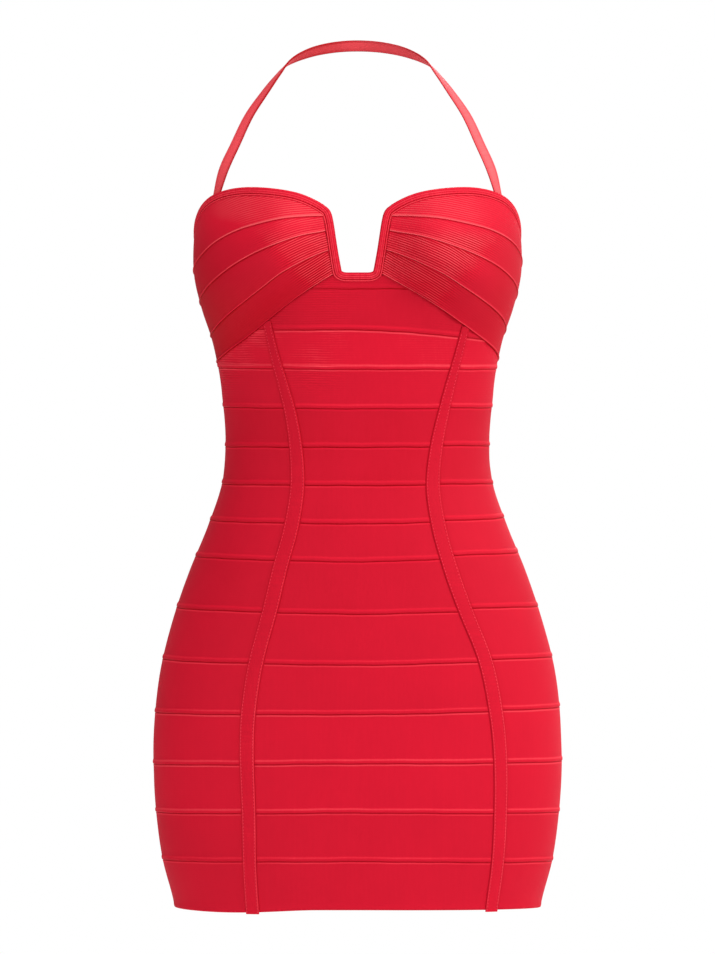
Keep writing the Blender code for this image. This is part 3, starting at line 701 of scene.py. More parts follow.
def knit_piece(node, seams, columns, lines, top, material, welts, cups=False, tops=None):
    """A piece of knit between two seams, with its welts, ribs and inner face.

    The welts are the profile of each line, its painted shade and highlight, and the painted
    light of the band above it, from the lowest line up. The tops are the angles that its
    columns turn to there.
    """
    profiles, tones, band_painted_light = welts
    welt = profiles[1]
    shares, ons, tapes, showing, dips = np.array(columns, float).T

    def column_angles(height):
        start, end = seams[0](height), seams[1](height)
        along = start + (end - start) * shares
        on = ons + tapes * curve(TAPE_WIDTHS, 1, height)
        along = along + on / degree(along, height)
        if tops is not None:
            pads = (len(columns) - len(tops)) // 2
            inner = slice(pads, -pads)
            along[inner] += (tops - along[inner]) * eased(*FRONT_TURNS, height[inner])
        return along

    def on_line(line):
        """Angle and height of each column where it meets a line."""
        height = np.full(len(columns), float(line(np.array(FIRST_GUESS))))
        for _ in range(SETTLING):
            angle = column_angles(height)
            height = line(angle)
        return angle, height

    angles, heights, band, inner_rows = [], [], [], []

    def add_row(row_line, own, inner):
        if inner:
            inner_rows.append(len(angles))
        for kept, new in zip((angles, heights, band), (*on_line(row_line), own)):
            kept.append(new)

    for own, (line, ceiling) in enumerate(zip(lines, lines[1:] + [top])):
        _, low = on_line(line)
        _, high = on_line(ceiling)
        tall = max(LEAST_BAND, float(np.median(high - low)))
        start, stop = welt[-1][0], tall + welt[0][0]
        count = max(2, int(round((stop - start) / ROW_STEP)))
        shares_up = np.linspace(start, stop, count + 1)
        low_rows = [above for above, _ in welt if 0 <= above < start]
        high_rows = [tall + below for below, _ in welt if welt[0][0] < below < 0]
        for number, up in enumerate(low_rows + list(shares_up) + high_rows):

            def row_line(a, up=up):
                room = ceiling(a) - line(a)
                part = up
                if start < up < stop:
                    spread = np.maximum(room - (tall - stop) - start, 0)
                    part = start + spread * (up - start) / (stop - start)
                elif up >= stop:
                    part = np.maximum(room - (tall - up), start)
                return np.minimum(line(a) + part, top(a))

            inner = number == 0 or (start < up < stop and number % 3 == 0)
            add_row(row_line, own, inner)
    add_row(top, own, False)
    add_row(lambda a: top(a) + TUCK, own, True)
    angles, heights = np.array(angles), np.array(heights)
    rows = len(angles)

    # v runs up from each band's own line, along the slant of the ribs
    reached = np.array([line(angles) for line in lines])
    slope = np.gradient(reached, axis=2) / (np.gradient(angles, axis=1) * degree(angles, heights))
    above = (heights - reached) / np.sqrt(1 + slope**2)
    v_low = above[band, range(rows)]
    v_high = above[band[:1] + band[:-1], range(rows)]
    u = np.zeros_like(angles)
    u[:, 1:] = np.cumsum(np.diff(angles, axis=1) * degree(angles, heights)[:, 1:], axis=1)
    u -= u[:, len(columns) // 2 : len(columns) // 2 + 1]

    out = relief(angles, heights, lines, profiles) * showing + dips + unevenness(angles, heights)
    if cups:
        out += padding(angles)
    out[-1] += TUCK_DIP
    outside = raised(angles, heights, out, cups)
    inside = raised(angles[inner_rows], heights[inner_rows], -WALL + INNER_EASE, cups)
    n = len(columns)
    verts = np.vstack((outside.reshape(-1, 3), inside.reshape(-1, 3)))
    base = rows * n
    faces = grid_faces(rows, n).tolist()
    faces += (base + grid_faces(len(inner_rows), n)[:, ::-1]).tolist()
    low = np.stack((u, v_low), axis=-1)[:-1]
    high = np.stack((u, v_high), axis=-1)[1:]
    uvs = np.stack((low[:, :-1], low[:, 1:], high[:, 1:], high[:, :-1]), axis=2)
    uvs = list(uvs.reshape(-1, 4, 2))
    # The inner face and the edges run straight up the body
    plain = np.stack((u, heights), axis=-1)
    plain = np.vstack((plain.reshape(-1, 2), plain[inner_rows].reshape(-1, 2)))
    rims = []
    last = len(inner_rows) - 1
    for i in range(n - 1):
        rims.append((i + 1, i, base + i, base + i + 1))
        a, b = (rows - 1) * n + i, base + last * n + i
        rims.append((a, a + 1, b + 1, b))
    for j, (low, high) in enumerate(zip(inner_rows, inner_rows[1:])):
        for side in (0, n - 1):
            edge = [k * n + side for k in range(low, high + 1)]
            rim = edge + [base + (j + 1) * n + side, base + j * n + side]
            rims.append(tuple(rim if side else rim[::-1]))
    uvs += [plain[list(corners)] for corners in faces[len(uvs) :] + rims]
    # Painted light: the welts' painted shade and highlights, the seams' pull painted as shade, and
    # each band's painted light
    painted_light = relief(angles, heights, lines, tones) * np.clip(showing, 0, 1) + dips
    painted_light += np.array(band_painted_light)[band][:, None]
    painted_light = np.concatenate((painted_light.ravel(), np.zeros(len(verts) - base)))
    piece = finished(f"{node}_knit", verts, faces + rims, uvs, material, tones=painted_light)
    return dressed(piece, node)


def sum_of(tree, *sources):
    """The sum of values that are each a source and a factor, a number or a source too."""
    total = 0.0
    for source, factor in sources:
        inputs = {0: source, 1: factor, 2: total}
        total = new_node(tree, "ShaderNodeMath", inputs, operation="MULTIPLY_ADD").outputs[0]
    return total


def noise(tree, where, scale, detail=2.0, roughness=0.55):
    """Soft random patches, from 0 to 1."""
    inputs = {"Vector": where, "Scale": scale, "Detail": detail, "Roughness": roughness}
    return new_node(tree, "ShaderNodeTexNoise", inputs).outputs["Fac"]


def yarn_colour(tree, tone, red, light, deep):
    """The dark colour, of darker patches and painted shade, at a tone of -1, the red at 0,
    and the pale one, of lighter patches and painted highlights, at 1.
    """
    ramp = new_node(tree, "ShaderNodeValToRGB", {"Fac": ranged(tree, tone, -1, 1, 0, 1)})
    stops = ramp.color_ramp.elements
    stops[0].color = (*deep, 1.0)
    stops[1].color = (*light, 1.0)
    stops.new(0.5).color = (*red, 1.0)
    stops.new(0.5 + BRIGHT_AT / 2).color = (*[BRIGHTER * value for value in red], 1.0)
    return ramp.outputs["Color"]


def knit_material(
    name,
    colours=(KNIT_RED, KNIT_PALE_AND_HIGHLIGHT, KNIT_DARK_AND_SHADE),
    pitches=(RIB_PITCH, WALE_PITCH),
    rib_painted_light=0.0,
    rib_bump=0.0,
    wale_tone=0.0,
    wale_bump=0.3,
    rib_places=(),
    rib_least=0.15,
    tone_places=(),
    pull_tone=0.06,
    fuzz_bump=0.8,
    rough=0.6,
    sheen=0.05,
    slant=(1.0, 0.0),
):
    """Ribbed knit: ribs along u and wales along v of the piece's own cloth map.

    The rib places are rows of axis, low, high, share at low and share at high, over which
    the ribs show more or less as the cloth is stretched. The tone places are the same for
    how much lighter or darker the yarn is painted. The axis slant is so much of X and so much of Z.
    """
    material, tree, shader = new_material(name)
    cloth = new_node(tree, "ShaderNodeUVMap", {}, uv_map="cloth").outputs["UV"]
    across = new_node(tree, "ShaderNodeSeparateXYZ", {"Vector": cloth}).outputs
    where = new_node(tree, "ShaderNodeTexCoord", {}).outputs["Object"]
    place = new_node(tree, "ShaderNodeSeparateXYZ", {"Vector": where}).outputs
    along = {"X": place["X"], "Z": place["Z"]}
    along["slant"] = sum_of(tree, (place["X"], slant[0]), (place["Z"], slant[1]))

    def waves(source, pitch):
        """Evenly spaced threads, from -1 to 1."""
        turn = sum_of(tree, (source, 2 * math.pi / (pitch * MM)))
        return new_node(tree, "ShaderNodeMath", {0: turn}, operation="SINE").outputs[0]

    def drawn_out(scale):
        """Noise that is so fine across the cloth and so fine up it."""
        inputs = {"Vector": cloth, "Scale": (*scale, 1.0)}
        return noise(tree, new_node(tree, "ShaderNodeMapping", inputs).outputs["Vector"], 1.0)

    def shares(places):
        """What each row of the places comes to, as a source."""
        return [ranged(tree, along[axis], *row, smooth=True) for axis, *row in places]

    wales = waves(across["X"], pitches[1])
    patches = noise(tree, where, PATCHES)
    streaks = drawn_out(STREAKS)
    pulls = drawn_out(PULLS)
    fuzz = noise(tree, where, FUZZ, 3.0)
    show = ranged(tree, patches, *RIB_SPAN, rib_least, 1.0)
    for share in shares(rib_places):
        show = sum_of(tree, (show, share))
    ribs = sum_of(tree, (waves(across["Y"], pitches[0]), show))
    # The tone: painted shade and highlights from the points' tone attribute and the ribs, with the
    # yarn's patches, streaks and pulled threads
    tone = sum_of(
        tree,
        *[(share, 1.0) for share in shares(tone_places)],
        (ribs, rib_painted_light),
        (wales, wale_tone),
        (ranged(tree, patches, *NOISE_SPAN, -PATCH_TONE, PATCH_TONE), 1.0),
        (ranged(tree, streaks, *NOISE_SPAN, -STREAK_TONE, STREAK_TONE), show),
        (ranged(tree, pulls, *PULL_SPAN, 0.0, pull_tone), 1.0),
        (new_node(tree, "ShaderNodeAttribute", {}, attribute_name="tone").outputs["Fac"], 1.0),
    )
    height = sum_of(tree, (ribs, rib_bump), (wales, wale_bump), (fuzz, fuzz_bump))
    inputs = {"Strength": 0.5, "Distance": 0.0002, "Height": height}
    values = {
        "Base Color": yarn_colour(tree, tone, *colours),
        "Roughness": rough,
        "Specular IOR Level": 0.06,
        "Sheen Weight": sheen,
        "Sheen Roughness": 0.35,
        "Sheen Tint": (1.0, 0.45, 0.50, 1.0),
        "Normal": new_node(tree, "ShaderNodeBump", inputs).outputs["Normal"],
    }
    feed(tree, shader, values)
    return material


# The ribs show best over the bust and waist and towards the wearer's right, and are
# stretched flat below. Their grooves are painted darker and their ridges lighter, as
# painted shade and highlight
panel_knit = knit_material(
    "panel_knit",
    rib_painted_light=0.30,
    rib_bump=0.7,
    wale_tone=0.03,
    rib_places=(("Z", -0.36, -0.28, 0.08, 1.25), ("X", -0.055, 0.01, 1.0, 0.15)),
)

PRESSED = 0.3  # share of a roll that is left where its welt is pressed flat
PRESSED_DARK, PRESSED_LIGHT = 1.4, 0.2  # PRESSED_DARK, PRESSED_LIGHT = 1.4, 0.2 # and of its painted shade and painted highlight


def welts_of(count, pressed=0):
    """Profiles and painted light of a panel's lines: its hem, then a welt for each other line.

    The topmost welts may be pressed flat, with little left of the roll and its painted
    highlight, and a dark painted shade in the crease.
    """
    still = ((0.0, 0.0), (1.0, 0.0))
    flat = [(above, min(out, PRESSED * out)) for above, out in WELT]
    dull = [
        (above, min(PRESSED_DARK * tone, PRESSED_LIGHT * tone)) for above, tone in WELT_PAINTED_LIGHT
    ]
    raised_lines = count - 1 - pressed
    profiles = [HEM_EDGE] + [WELT] * raised_lines + [flat] * pressed
    tones = [still] + [WELT_PAINTED_LIGHT] * raised_lines + [dull] * pressed
    band_painted_light = [row[-1] for row in BAND_LINES[:count]]
    return profiles, tones, band_painted_light + [0.0] * (count - len(band_painted_light))


FRONT_COUNT = FRONT_FINER * (len(FRONT_TOP) - 1) + 1
spots = np.linspace(0, len(FRONT_TOP) - 1, FRONT_COUNT)
front_centre = knit_piece(
    "front_centre",
    (princess_seam(-1), princess_seam(1)),
    columns_between(AT_FIRST_TAPE, AT_SECOND_TAPE, FRONT_COUNT),
    panel_lines(len(BAND_LINES)),
    under_cups,
    panel_knit,
    welts_of(len(BAND_LINES), pressed=1),
    tops=np.interp(spots, range(len(FRONT_TOP)), FRONT_TOP),
)

side_columns = columns_between(AT_FIRST_TAPE, AT_SECOND_SEAM, SIDE_COLUMNS)
for side, word in SIDES:
    seams = (princess_seam(side), level_seam(side * SIDE_SEAM))
    seams, columns = on_side(side, seams, side_columns)
    lines = panel_lines(SIDE_LINES, step_share=float(side > 0))
    welts = welts_of(SIDE_LINES)
    knit_piece(f"front_side_{word}", seams, columns, lines, under_cups, panel_knit, welts)

back_columns = columns_between(AT_FIRST_SEAM, AT_SECOND_SEAM, BACK_COLUMNS)
lines = panel_lines(BACK_LINES) + cup_lines()
for side, word in SIDES:
    seams = (level_seam(side * SIDE_SEAM), level_seam(side * CENTRE_BACK))
    seams, columns = on_side(side, seams, back_columns)
    welts = welts_of(len(lines))
    knit_piece(f"back_{word}", seams, columns, lines, neckline, panel_knit, welts)

# --- The cups --------------------------------------------------------------------------
# Two moulded cups, each of four slanting bands of the same knit over a thin pad. The
# bands fan out from the notch, and a narrow piped edge closes each of them below.

CUP_RED = (0.598, 0.0072, 0.0255)
# Paler reds of the cups' lighter patches and of their painted highlights
LEFT_CUP_PALE_AND_HIGHLIGHT = (0.820, 0.0880, 0.1060)
RIGHT_CUP_PALE_AND_HIGHLIGHT = (0.850, 0.0950, 0.1100)
CUP_SLANT = 0.94
CUP_RIB_PITCH = 2.0
CUP_WELT = (
    (-1.6, 0.0),
    (-0.9, 0.04),
    (-0.4, 0.02),
    (0.0, -0.40),
    (0.25, 0.15),
    (0.55, 0.62),
    (0.95, 0.82),
    (1.4, 0.64),
    (1.8, 0.26),
    (2.3, 0.05),
    (3.0, 0.0),
)
# Painted light on the cups' welts: painted shade in the crease and a painted highlight on the roll
CUP_PAINTED_LIGHT = (
    (-2.2, 0.0),
    (-1.3, -0.10),
    (-0.5, -0.45),
    (0.0, -0.95),
    (0.3, -0.30),
    (0.55, 0.45),
    (0.95, 0.95),
    (1.4, 0.80),
    (1.8, 0.25),
    (2.4, 0.0),
)
CUP_WELTS = ([CUP_WELT] * 4, [CUP_PAINTED_LIGHT] * 4, [0.0] * 4)
# The columns where a cup goes under the binding of the notch
AT_NOTCH = [
    (0, -0.7, 0, 0.2, -0.8),
    (0, 0.0, 0, 0.5, -0.15),
    (0, 0.8, 0, 0.9, 0),
    (0, 2.0, 0, 1, 0),
]


def notch_seam(side):
    """Angle of a cup's inner seam over height."""
    return lambda height: side * notch_side(height)


# The ribs are open beside the notch and close up round the side of the cup. Each cup is
# painted with light and shade: a painted highlight over the top of the pad, painted shade
# below it and towards the side. For each cup: its pale red of lighter patches and painted
# highlights, where along the slant the ribs close, the painted shade below the pad, the
# painted highlight over its top, and the painted shade to the side
cup_columns = columns_between(AT_NOTCH, AT_SECOND_SEAM, CUP_COLUMNS)
for side, word, light, reach, lower, top, away in (
    (1, "left", LEFT_CUP_PALE_AND_HIGHLIGHT, (0.282, 0.322), (-0.15, 0.04), 0.46, (0.10, 0.15, 0.0, -0.22)),
    (-1, "right", RIGHT_CUP_PALE_AND_HIGHLIGHT, (0.245, 0.273), (-0.55, 0.05), 0.49, (-0.15, -0.10, -0.16, 0.0)),
):
    cup_knit = knit_material(
        f"cup_knit_{word}",
        (CUP_RED, light, KNIT_DARK_AND_SHADE),
        (CUP_RIB_PITCH, WALE_PITCH),
        rib_painted_light=0.95,
        rib_bump=1.8,
        wale_bump=0.1,
        rib_places=(("slant", *reach, 1.0, 0.06), ("Z", -0.185, -0.168, 1.0, 0.22)),
        rib_least=0.70,
        tone_places=(("Z", -0.265, -0.185, *lower), ("Z", -0.195, -0.155, 0.0, top), ("X", *away)),
        pull_tone=0.0,
        sheen=0.02,
        slant=(float(side), -CUP_SLANT),
    )
    seams = (notch_seam(side), level_seam(side * SIDE_SEAM))
    seams, columns = on_side(side, seams, cup_columns)
    knit_piece(
        f"cup_{word}", seams, columns, cup_lines(), neckline, cup_knit, CUP_WELTS, cups=True
    )
both_cups = [pieces["cup_left"], pieces["cup_right"]]

# --- The tapes -------------------------------------------------------------------------
# A flat folded tape of the same yarn covers each princess seam from the cup to just past
# the hem. It is stitched down along both edges with small running stitches.

TAPE_THICK = 1.0
TAPE_BOTTOMS = (-3.2, -1.6)  # on the wearer's right, and left
TAPE_STEP = 3.0
TAPE_LAST = 1.0  # its last step is longer than this
TAPE_TOP = 530.0  # about the height where it meets the cup
# Across the tape: share of its half width, share of its thickness, and the painted light:
# painted shade at its edges and groove, painted highlights on its ridges
TAPE_SHAPE = (
    (-1.0, 0.05, -0.5),
    (-0.985, 0.62, -0.2),
    (-0.93, 0.94, 0.35),
    (-0.86, 0.98, 0.20),
    (-0.80, 0.84, -0.30),
    (-0.70, 0.92, 0.0),
    (-0.35, 0.98, 0.0),
    (0.0, 1.0, 0.0),
    (0.35, 0.98, 0.0),
    (0.70, 0.92, 0.0),
    (0.80, 0.84, -0.35),
    (0.86, 0.98, 0.25),
    (0.93, 0.94, 0.50),
    (0.985, 0.62, -0.2),
    (1.0, 0.05, -0.5),
)
STITCH_STEP, STITCH_LONG, STITCH_WIDE = 3.0, 1.7, 0.62
STITCH_IN = 1.25  # from the tape's edge
STITCH_OUT = 0.88  # share of the tape's thickness at which they lie
STITCH_ENDS = (2.0, 5.0)  # from the tape's lower end, and its upper one
TAPE_UNDER = (5, -0.25)  # points across its under side, and how far that is sunk in the cloth
THREAD_RED = (0.84, 0.050, 0.085)


def turned_out(obj):
    """The same object with its faces outward."""
    bm = bmesh.new()
    bm.from_mesh(obj.data)
    bmesh.ops.recalc_face_normals(bm, faces=bm.faces)
    bm.to_mesh(obj.data)
    bm.free()
    return obj


def swept(name, sections, material, sharp=60.0, tones=None):
    """A closed strip through closed sections, with flat ends, its map in millimetres.

    The tones are those of each section's points.
    """
    sections = np.array(sections)
    count, around = sections.shape[:2]
    verts = sections.reshape(-1, 3)
    mids = sections.mean(axis=1)
    along = np.concatenate(([0.0], np.cumsum(np.linalg.norm(np.diff(mids, axis=0), axis=1))))
    ring = np.linalg.norm(np.roll(sections[0], -1, axis=0) - sections[0], axis=1)
    ring = np.concatenate(([0.0], np.cumsum(ring)))
    faces, uvs = [], []
    for j in range(count - 1):
        for i in range(around):
            k = (i + 1) % around
            a, b = j * around, (j + 1) * around
            faces.append((a + i, a + k, b + k, b + i))
            low, high = along[j], along[j + 1]
            left, right = ring[i], ring[i + 1]
            uvs.append(((left, low), (right, low), (right, high), (left, high)))
    first = tuple(range(around))[::-1]
    last = tuple((count - 1) * around + i for i in range(around))
    for cap, at in ((first, along[0]), (last, along[-1])):
        faces.append(cap)
        uvs.append(tuple((ring[c % around], at) for c in cap))
    if tones is not None:
        tones = np.tile(tones, count)
    return turned_out(finished(name, verts, faces, uvs, material, sharp, tones))


def beside_seam(side, height, across):
    """Angle of a point beside a princess seam, so far across it."""
    middle_at = princess_seam(side)(height)
    return middle_at + across / degree(middle_at, height)


def on_tape(side, height, across, out):
    """Points of the tape at that height, or down along the cup's edge, so far out."""
    angle = beside_seam(side, np.full(len(across), height), across)
    height = np.minimum(height, cup_line(1, angle) - GAP)
    return raised(angle, height, GAP + out + unevenness(angle, height))


def stitches(name, centres, ways, outs, long, wide, material):
    """Small rounded stitches, each along its way and half sunk in the cloth."""
    bpy.ops.object.select_all(action="DESELECT")
    bpy.ops.mesh.primitive_uv_sphere_add(segments=6, ring_count=4, radius=0.5)
    ball = bpy.context.object
    grain = np.array([v.co.zxy for v in ball.data.vertices]) * (long, wide, wide)
    grain_faces = [tuple(face.vertices) for face in ball.data.polygons]
    bpy.data.objects.remove(ball)
    verts, faces, uvs = [], [], []
    for centre, way, out in zip(centres, ways, outs):
        way = unit(way)
        out = unit(out - way * np.dot(out, way))
        side = np.cross(out, way)
        start = len(verts)
        verts += [centre + way * p[0] + side * p[1] + out * p[2] for p in grain]
        for quad in grain_faces:
            faces.append(tuple(start + c for c in quad))
            uvs.append(tuple((grain[c][1], grain[c][0]) for c in quad))
    return turned_out(finished(name, verts, faces, uvs, material))


# The tapes are painted lighter low down, painted light that matches the bands there
tape_knit = knit_material(
    "tape_knit", wale_bump=0.6, wale_tone=0.05, tone_places=(("Z", -0.66, -0.50, 0.30, 0.04),)
)
thread = knit_material("red_thread", (THREAD_RED, KNIT_PALE_AND_HIGHLIGHT, KNIT_DARK_AND_SHADE), rough=0.5)
for side, word in SIDES:
    bottom = TAPE_BOTTOMS[side > 0]
    cup_edge = float(cup_line(1, princess_seam(side)(np.array(TAPE_TOP))))
    sections = []
    for height in np.append(np.arange(bottom, cup_edge - TAPE_LAST, TAPE_STEP), cup_edge):
        half = float(curve(TAPE_WIDTHS, 1, height))
        across = np.array([x for x, _, _ in TAPE_SHAPE]) * half
        thick = np.array([z for _, z, _ in TAPE_SHAPE]) * TAPE_THICK
        over = on_tape(side, height, across, thick)
        under = on_tape(side, height, np.linspace(half, -half, TAPE_UNDER[0]), TAPE_UNDER[1])
        sections.append(np.vstack((over, under)))
    tones = [tone for _, _, tone in TAPE_SHAPE] + [0.0] * TAPE_UNDER[0]
    tape = swept(f"seam_tape_{word}_knit", sections, tape_knit, tones=tones)
    dressed(tape, f"seam_tape_{word}")

    centres, ways, outs = [], [], []
    for edge in (-1, 1):
        ats = np.arange(bottom + STITCH_ENDS[0], cup_edge - STITCH_ENDS[1], STITCH_STEP)
        half = curve(TAPE_WIDTHS, 1, ats)
        angle = beside_seam(side, ats, edge * (half - STITCH_IN))
        places = raised(angle, ats, GAP + TAPE_THICK * STITCH_OUT + unevenness(angle, ats))
        centres += list(places)
        ways += list(np.gradient(places, axis=0))
        outs += list(outward(angle, ats, False))
    sewn = stitches(f"tape_stitches_{word}", centres, ways, outs, STITCH_LONG, STITCH_WIDE, thread)
    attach(sewn, "dress")

# --- The neckline's binding ------------------------------------------------------------
# A rolled knit binding finishes the neckline. Over the cups it holds the boning wire of
# the square notch. It has a round outer roll in three fine ridges, then a bead between
# two lines of stitching, where it is sewn to the cloth.

BINDING_RED = (0.605, 0.0070, 0.0255)
BINDING = 8.0
# Across the binding from the cloth outwards: millimetres on, how far it stands out of
# the cloth's outer face, and the painted light: painted shade in its grooves and at its
# edges, painted highlights on its ridges and bead
BINDING_TOP = (
    (-0.50, -0.50, -0.9),
    (-0.28, 0.00, -0.6),
    (0.00, 0.46, 0.30),
    (0.50, 0.80, 0.95),
    (1.00, 0.52, 0.50),
    (1.22, 0.14, -0.75),
    (1.55, 0.06, -0.95),
    (1.78, 0.52, -0.10),
    (2.25, 0.96, 0.65),
    (2.90, 1.10, 0.62),
    (3.25, 0.90, -0.15),
    (3.60, 1.06, 0.20),
    (4.20, 1.26, 0.72),
    (4.80, 1.24, 0.55),
    (5.10, 1.04, -0.20),
    (5.45, 1.20, 0.20),
    (6.10, 1.32, 0.60),
    (6.80, 1.16, 0.35),
    (7.40, 0.65, 0.0),
    (7.85, -0.15, -0.35),
    (8.00, -0.90, -0.6),
)
# And back under it: millimetres on, and how far out of the cloth's inner face
BINDING_UNDER = ((8.0, 0.5), (7.2, 0.0), (4.0, -0.1), (1.0, 0.0), (0.1, 0.4))
BINDING_BULGE = 0.12  # how far its outer side is rounded
BINDING_FINER, BINDING_ROUNDS = 4, 6  # stations between two, and rounds of smoothing
END_CLEAR = 0.3  # no other station is nearer to its ends than this angle
SIDE_TOP, BACK_TOP = 606.0, 560.0  # heights of the neckline at the side seams and behind
ZIP_WINDOW = 4.6  # half the gap between the back bindings, where the slider sits
FRONT_BINDING_CUT = (0.0125, 0.520)
BACK_BINDING_CUT = (0.0125, 0.144)


def neckline_stations():
    """Along the cloth's upper edge, all round: angle, height, and the way on.

    The way is a step round the body and a rise, both in millimetres.
    """
    path = np.vstack((NECKLINE_PATH[:0:-1] * (-1, 1), NECKLINE_PATH))
    steps = np.diff(path, axis=0)
    middle_at = (path[1:] + path[:-1]) / 2
    steps[:, 0] *= degree(middle_at[:, 0], middle_at[:, 1])
    steps = unit(steps)
    ways = unit(np.vstack((steps[:1], steps[:-1] + steps[1:], steps[-1:])))
    stations = np.hstack((path, ways))
    # finer stations between, with the ways turned evenly
    every = np.arange(len(stations), dtype=float)
    between = np.linspace(0, len(stations) - 1, BINDING_FINER * (len(stations) - 1) + 1)
    finer = np.stack([np.interp(between, every, column) for column in stations.T], axis=1)
    for _ in range(BINDING_ROUNDS):
        finer[1:-1] = (finer[:-2] + 2 * finer[1:-1] + finer[2:]) / 4
    finer[:, 2:] = unit(finer[:, 2:])
    return finer


def binding(name, start, end, material):
    """A stretch of the rolled binding between two angles."""
    stations = neckline_stations()
    ends = [[np.interp(at, stations[:, 0], column) for column in stations.T] for at in (start, end)]
    between = (stations[:, 0] > start + END_CLEAR) & (stations[:, 0] < end - END_CLEAR)
    sections = []
    for angle, height, forward, up in np.vstack((ends[:1], stations[between], ends[1:])):
        pad = float(padding(angle))
        shape = [(x, pad + z) for x, z, _ in BINDING_TOP]
        shape += [(BINDING + BINDING_BULGE, (pad - WALL) / 2)]
        shape += [(x, z - WALL) for x, z in BINDING_UNDER]
        off, out = np.array(shape).T
        off = GAP + off
        back = up * off / float(degree(angle, height))
        sections.append(raised(angle - back, height + forward * off, out, True))
    tones = [tone for _, _, tone in BINDING_TOP] + [0.0] * (len(BINDING_UNDER) + 1)
    return swept(name, sections, material, sharp=80.0, tones=tones)


binding_knit = knit_material("binding_knit", (BINDING_RED, KNIT_PALE_AND_HIGHLIGHT, KNIT_DARK_AND_SHADE), wale_bump=0.5)
half_gap = GAP / 2 / float(degree(SIDE_SEAM, SIDE_TOP))
zip_end = CENTRE_BACK - ZIP_WINDOW / float(degree(CENTRE_BACK, BACK_TOP))
before_seam, after_seam = SIDE_SEAM - half_gap, SIDE_SEAM + half_gap
for word, start, end, cut, under in (
    ("front", -before_seam, before_seam, FRONT_BINDING_CUT, [*both_cups, front_centre]),
    ("back_left", after_seam, zip_end, BACK_BINDING_CUT, [pieces["back_left"]]),
    ("back_right", -zip_end, -after_seam, BACK_BINDING_CUT, [pieces["back_right"]]),
):
    piece = binding(f"binding_{word}_knit", start, end, binding_knit)
    dressed(piece, f"binding_{word}")

# --- The halter strap ------------------------------------------------------------------
# One narrow flat strap of the same knit, folded double with a fine edge, runs from behind
# one cup round the neck to behind the other, where its ends are caught in the binding.

STRAP_RED = (0.760, 0.0700, 0.0850)
# The strap's paler red, of its painted highlights
STRAP_PALE_AND_HIGHLIGHT = (0.720, 0.1550, 0.1650)
# Across, forward, height, and the way that its outer face looks
STRAP_ROUTE = (
    (122.8, -47.5, 675.6, 0.55, -0.80, 0.22),
    (111.7, -40.0, 700.4, 0.50, -0.78, 0.38),
    (99.6, -28.0, 726.2, 0.50, -0.68, 0.53),
    (85.1, -14.5, 748.2, 0.56, -0.50, 0.66),
    (73.4, 0.0, 764.5, 0.68, -0.27, 0.68),
    (62.6, 14.5, 777.0, 0.80, 0.03, 0.60),
    (44.0, 37.0, 786.4, 0.72, 0.52, 0.45),
    (22.5, 58.0, 791.8, 0.38, 0.86, 0.32),
    (0.0, 66.0, 793.5, 0.0, 0.98, 0.20),
)
STRAP_FOOT = ((74.6, 634.0), (72.6, 649.0))  # angle and height of its end on the cup
STRAP_BOW = 1.0  # how much more it bows out on the wearer's left
STRAP_WIDTH, STRAP_THICK = 10.5, 1.6
STRAP_CLEAR = 0.7  # its middle to the curved inside of the cup
STRAP_STEPS = 9
# Across half of one face, from its edge to its middle: share of its half width, share of
# its half thickness, and the painted light: painted shade along its edge and groove, a
# painted highlight on its ridges
STRAP_HALF = (
    (-1.0, 0.0, -1.0),
    (-0.99, 0.55, -1.0),
    (-0.93, 0.92, -0.9),
    (-0.86, 1.0, -0.2),
    (-0.78, 0.93, 0.1),
    (-0.70, 0.70, -0.4),
    (-0.60, 0.86, 0.1),
    (-0.3, 0.94, 0.2),
    (0.0, 0.96, 0.2),
)
STRAP_SHAPE = STRAP_HALF + tuple((-x, z, tone) for x, z, tone in STRAP_HALF[-2:0:-1])


def strap_rows(side):
    """The strap's middle and the way it looks, from its foot to the nape on one side."""
    behind_cup = -WALL - STRAP_CLEAR - STRAP_THICK / 2
    rows = []
    for angle, height in STRAP_FOOT:
        at = raised(side * angle, height, behind_cup, True)
        rows.append((*at, *outward(side * angle, height, True)))
    for i, (x, y, z, face_x, face_y, face_z) in enumerate(STRAP_ROUTE):
        bow = STRAP_BOW * math.sin(math.pi * i / (len(STRAP_ROUTE) - 1)) if side > 0 else 0
        rows.append((side * (x + bow), y, z, side * face_x, face_y, face_z))
    return rows


# Painted light across the strap: painted shade towards the wearer's right, painted light on the
# wearer's left, where the key light stands
strap_knit = knit_material(
    "strap_knit",
    (STRAP_RED, STRAP_PALE_AND_HIGHLIGHT, KNIT_DARK_AND_SHADE),
    wale_bump=0.25,
    tone_places=(
        ("X", -0.068, -0.055, 0.0, -0.50),
        ("X", -0.035, 0.030, 0.0, 0.75),
        ("X", 0.055, 0.070, 0.0, 0.40),
    ),
    pull_tone=0.0,
    fuzz_bump=0.25,
    sheen=0.08,
)
stations = through(strap_rows(-1) + strap_rows(1)[-2::-1], STRAP_STEPS)
points, looks_at = stations[:, :3], stations[:, 3:]
sections = []
for point, tangent, looks in zip(points, np.gradient(points, axis=0), looks_at):
    tangent = unit(tangent)
    looks = unit(looks - tangent * np.dot(looks, tangent))
    across = np.cross(tangent, looks)
    shape = [(x, z) for x, z, _ in STRAP_SHAPE] + [(-x, -z) for x, z, _ in STRAP_SHAPE]
    sections.append(
        [point + across * x * STRAP_WIDTH / 2 + looks * z * STRAP_THICK / 2 for x, z in shape]
    )
tones = [tone for _, _, tone in STRAP_SHAPE] * 2
strap = swept("halter_strap_knit", sections, strap_knit, tones=tones)
dressed(strap, "halter_strap")

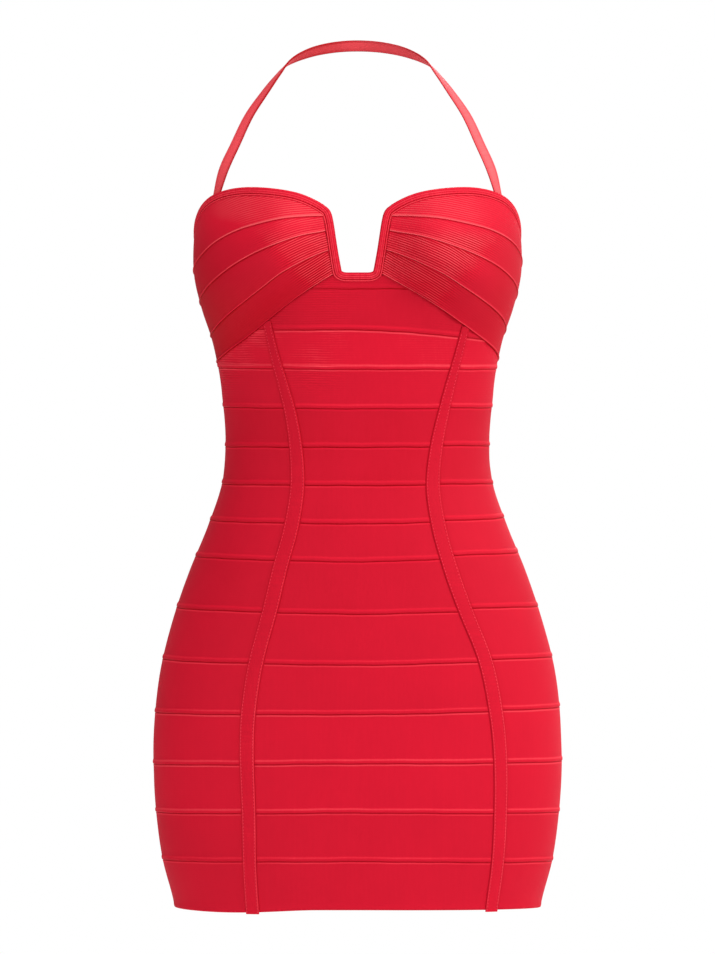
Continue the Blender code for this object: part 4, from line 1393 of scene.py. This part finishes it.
# --- The zip ---------------------------------------------------------------------------
# A concealed zip closes the centre back: a woven tape sewn behind the two backs, a nylon
# coil on its inner side, and an enamelled metal slider with a pull tab, all in the red
# of the dress.

ZIP_HALF, ZIP_THICK = 12.0, 0.8
ZIP_FIRST_LINE = 4  # it starts at this line of the backs
ZIP_TOP = 566.5
ZIP_STEP = 5.0
ZIP_LAST = 2.0  # its last step is longer than this
ZIP_ACROSS = 9  # points across each of its faces
COIL_ENDS = (3.0, 1.0)  # from the tape's lower end, and its upper one
ZIP_RED = (0.480, 0.0070, 0.0220)
ZIP_THREADS = (0.9, 0.9)  # pitch of the weave each way
COIL_STEP, COIL_WIDE, COIL_THICK = 1.6, 4.2, 1.12
COIL_OUT = 0.15  # its middle, in from the tape's face

zip_weave = knit_material(
    "zip_weave",
    (ZIP_RED, KNIT_PALE_AND_HIGHLIGHT, KNIT_DARK_AND_SHADE),
    ZIP_THREADS,
    rib_bump=0.6,
    wale_bump=0.6,
    rough=0.7,
)
zip_bottom = float(band_line(BAND_LINES[ZIP_FIRST_LINE], np.array(CENTRE_BACK)))
sections = []
for height in np.append(np.arange(zip_bottom, ZIP_TOP - ZIP_LAST, ZIP_STEP), ZIP_TOP):
    across = np.linspace(-ZIP_HALF, ZIP_HALF, ZIP_ACROSS)
    angle = CENTRE_BACK + across / degree(CENTRE_BACK, height)
    outer = raised(angle, height, -WALL - GAP)
    inner = raised(angle, height, -WALL - GAP - ZIP_THICK)
    sections.append(np.vstack((outer, inner[::-1])))
zip_tape = swept("zip_tape_weave", sections, zip_weave)
dressed(zip_tape, "zip_tape")
ats = np.arange(zip_bottom + COIL_ENDS[0], ZIP_TOP - COIL_ENDS[1], COIL_STEP)
seam = np.full(len(ats), CENTRE_BACK)
coil = stitches(
    "zip_coil",
    raised(seam, ats, -WALL - GAP - ZIP_THICK - COIL_OUT),
    [np.array((1.0, 0.0, 0.0))] * len(ats),
    outward(seam, ats, False),
    COIL_WIDE,
    COIL_THICK,
    zip_weave,
)
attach(coil, "dress")

ENAMEL_RED = (0.50, 0.0060, 0.022, 1.0)
ENAMEL_DEEP = (0.42, 0.0045, 0.017, 1.0)
ENAMEL_SPECKS = 900.0  # how fine they are
ENAMEL_ROUGH = (0.28, 0.42)  # where it has its own red, and where it is deeper
enamel, tree, shader = new_material("red_enamel")
where = new_node(tree, "ShaderNodeTexCoord", {}).outputs["Object"]
specks = noise(tree, where, ENAMEL_SPECKS, roughness=0.5)
inputs = {"Factor": specks, "A": ENAMEL_RED, "B": ENAMEL_DEEP}
values = {
    "Base Color": new_node(tree, "ShaderNodeMix", inputs, data_type="RGBA").outputs["Result"],
    "Roughness": ranged(tree, specks, 0.0, 1.0, *ENAMEL_ROUGH),
    "Specular IOR Level": 0.30,
    "Coat Weight": 0.20,
    "Coat Roughness": 0.20,
}
feed(tree, shader, values)
for node in ("zip_slider", "zip_tab"):
    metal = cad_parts[node]
    metal.data.materials.clear()
    metal.data.materials.append(enamel)
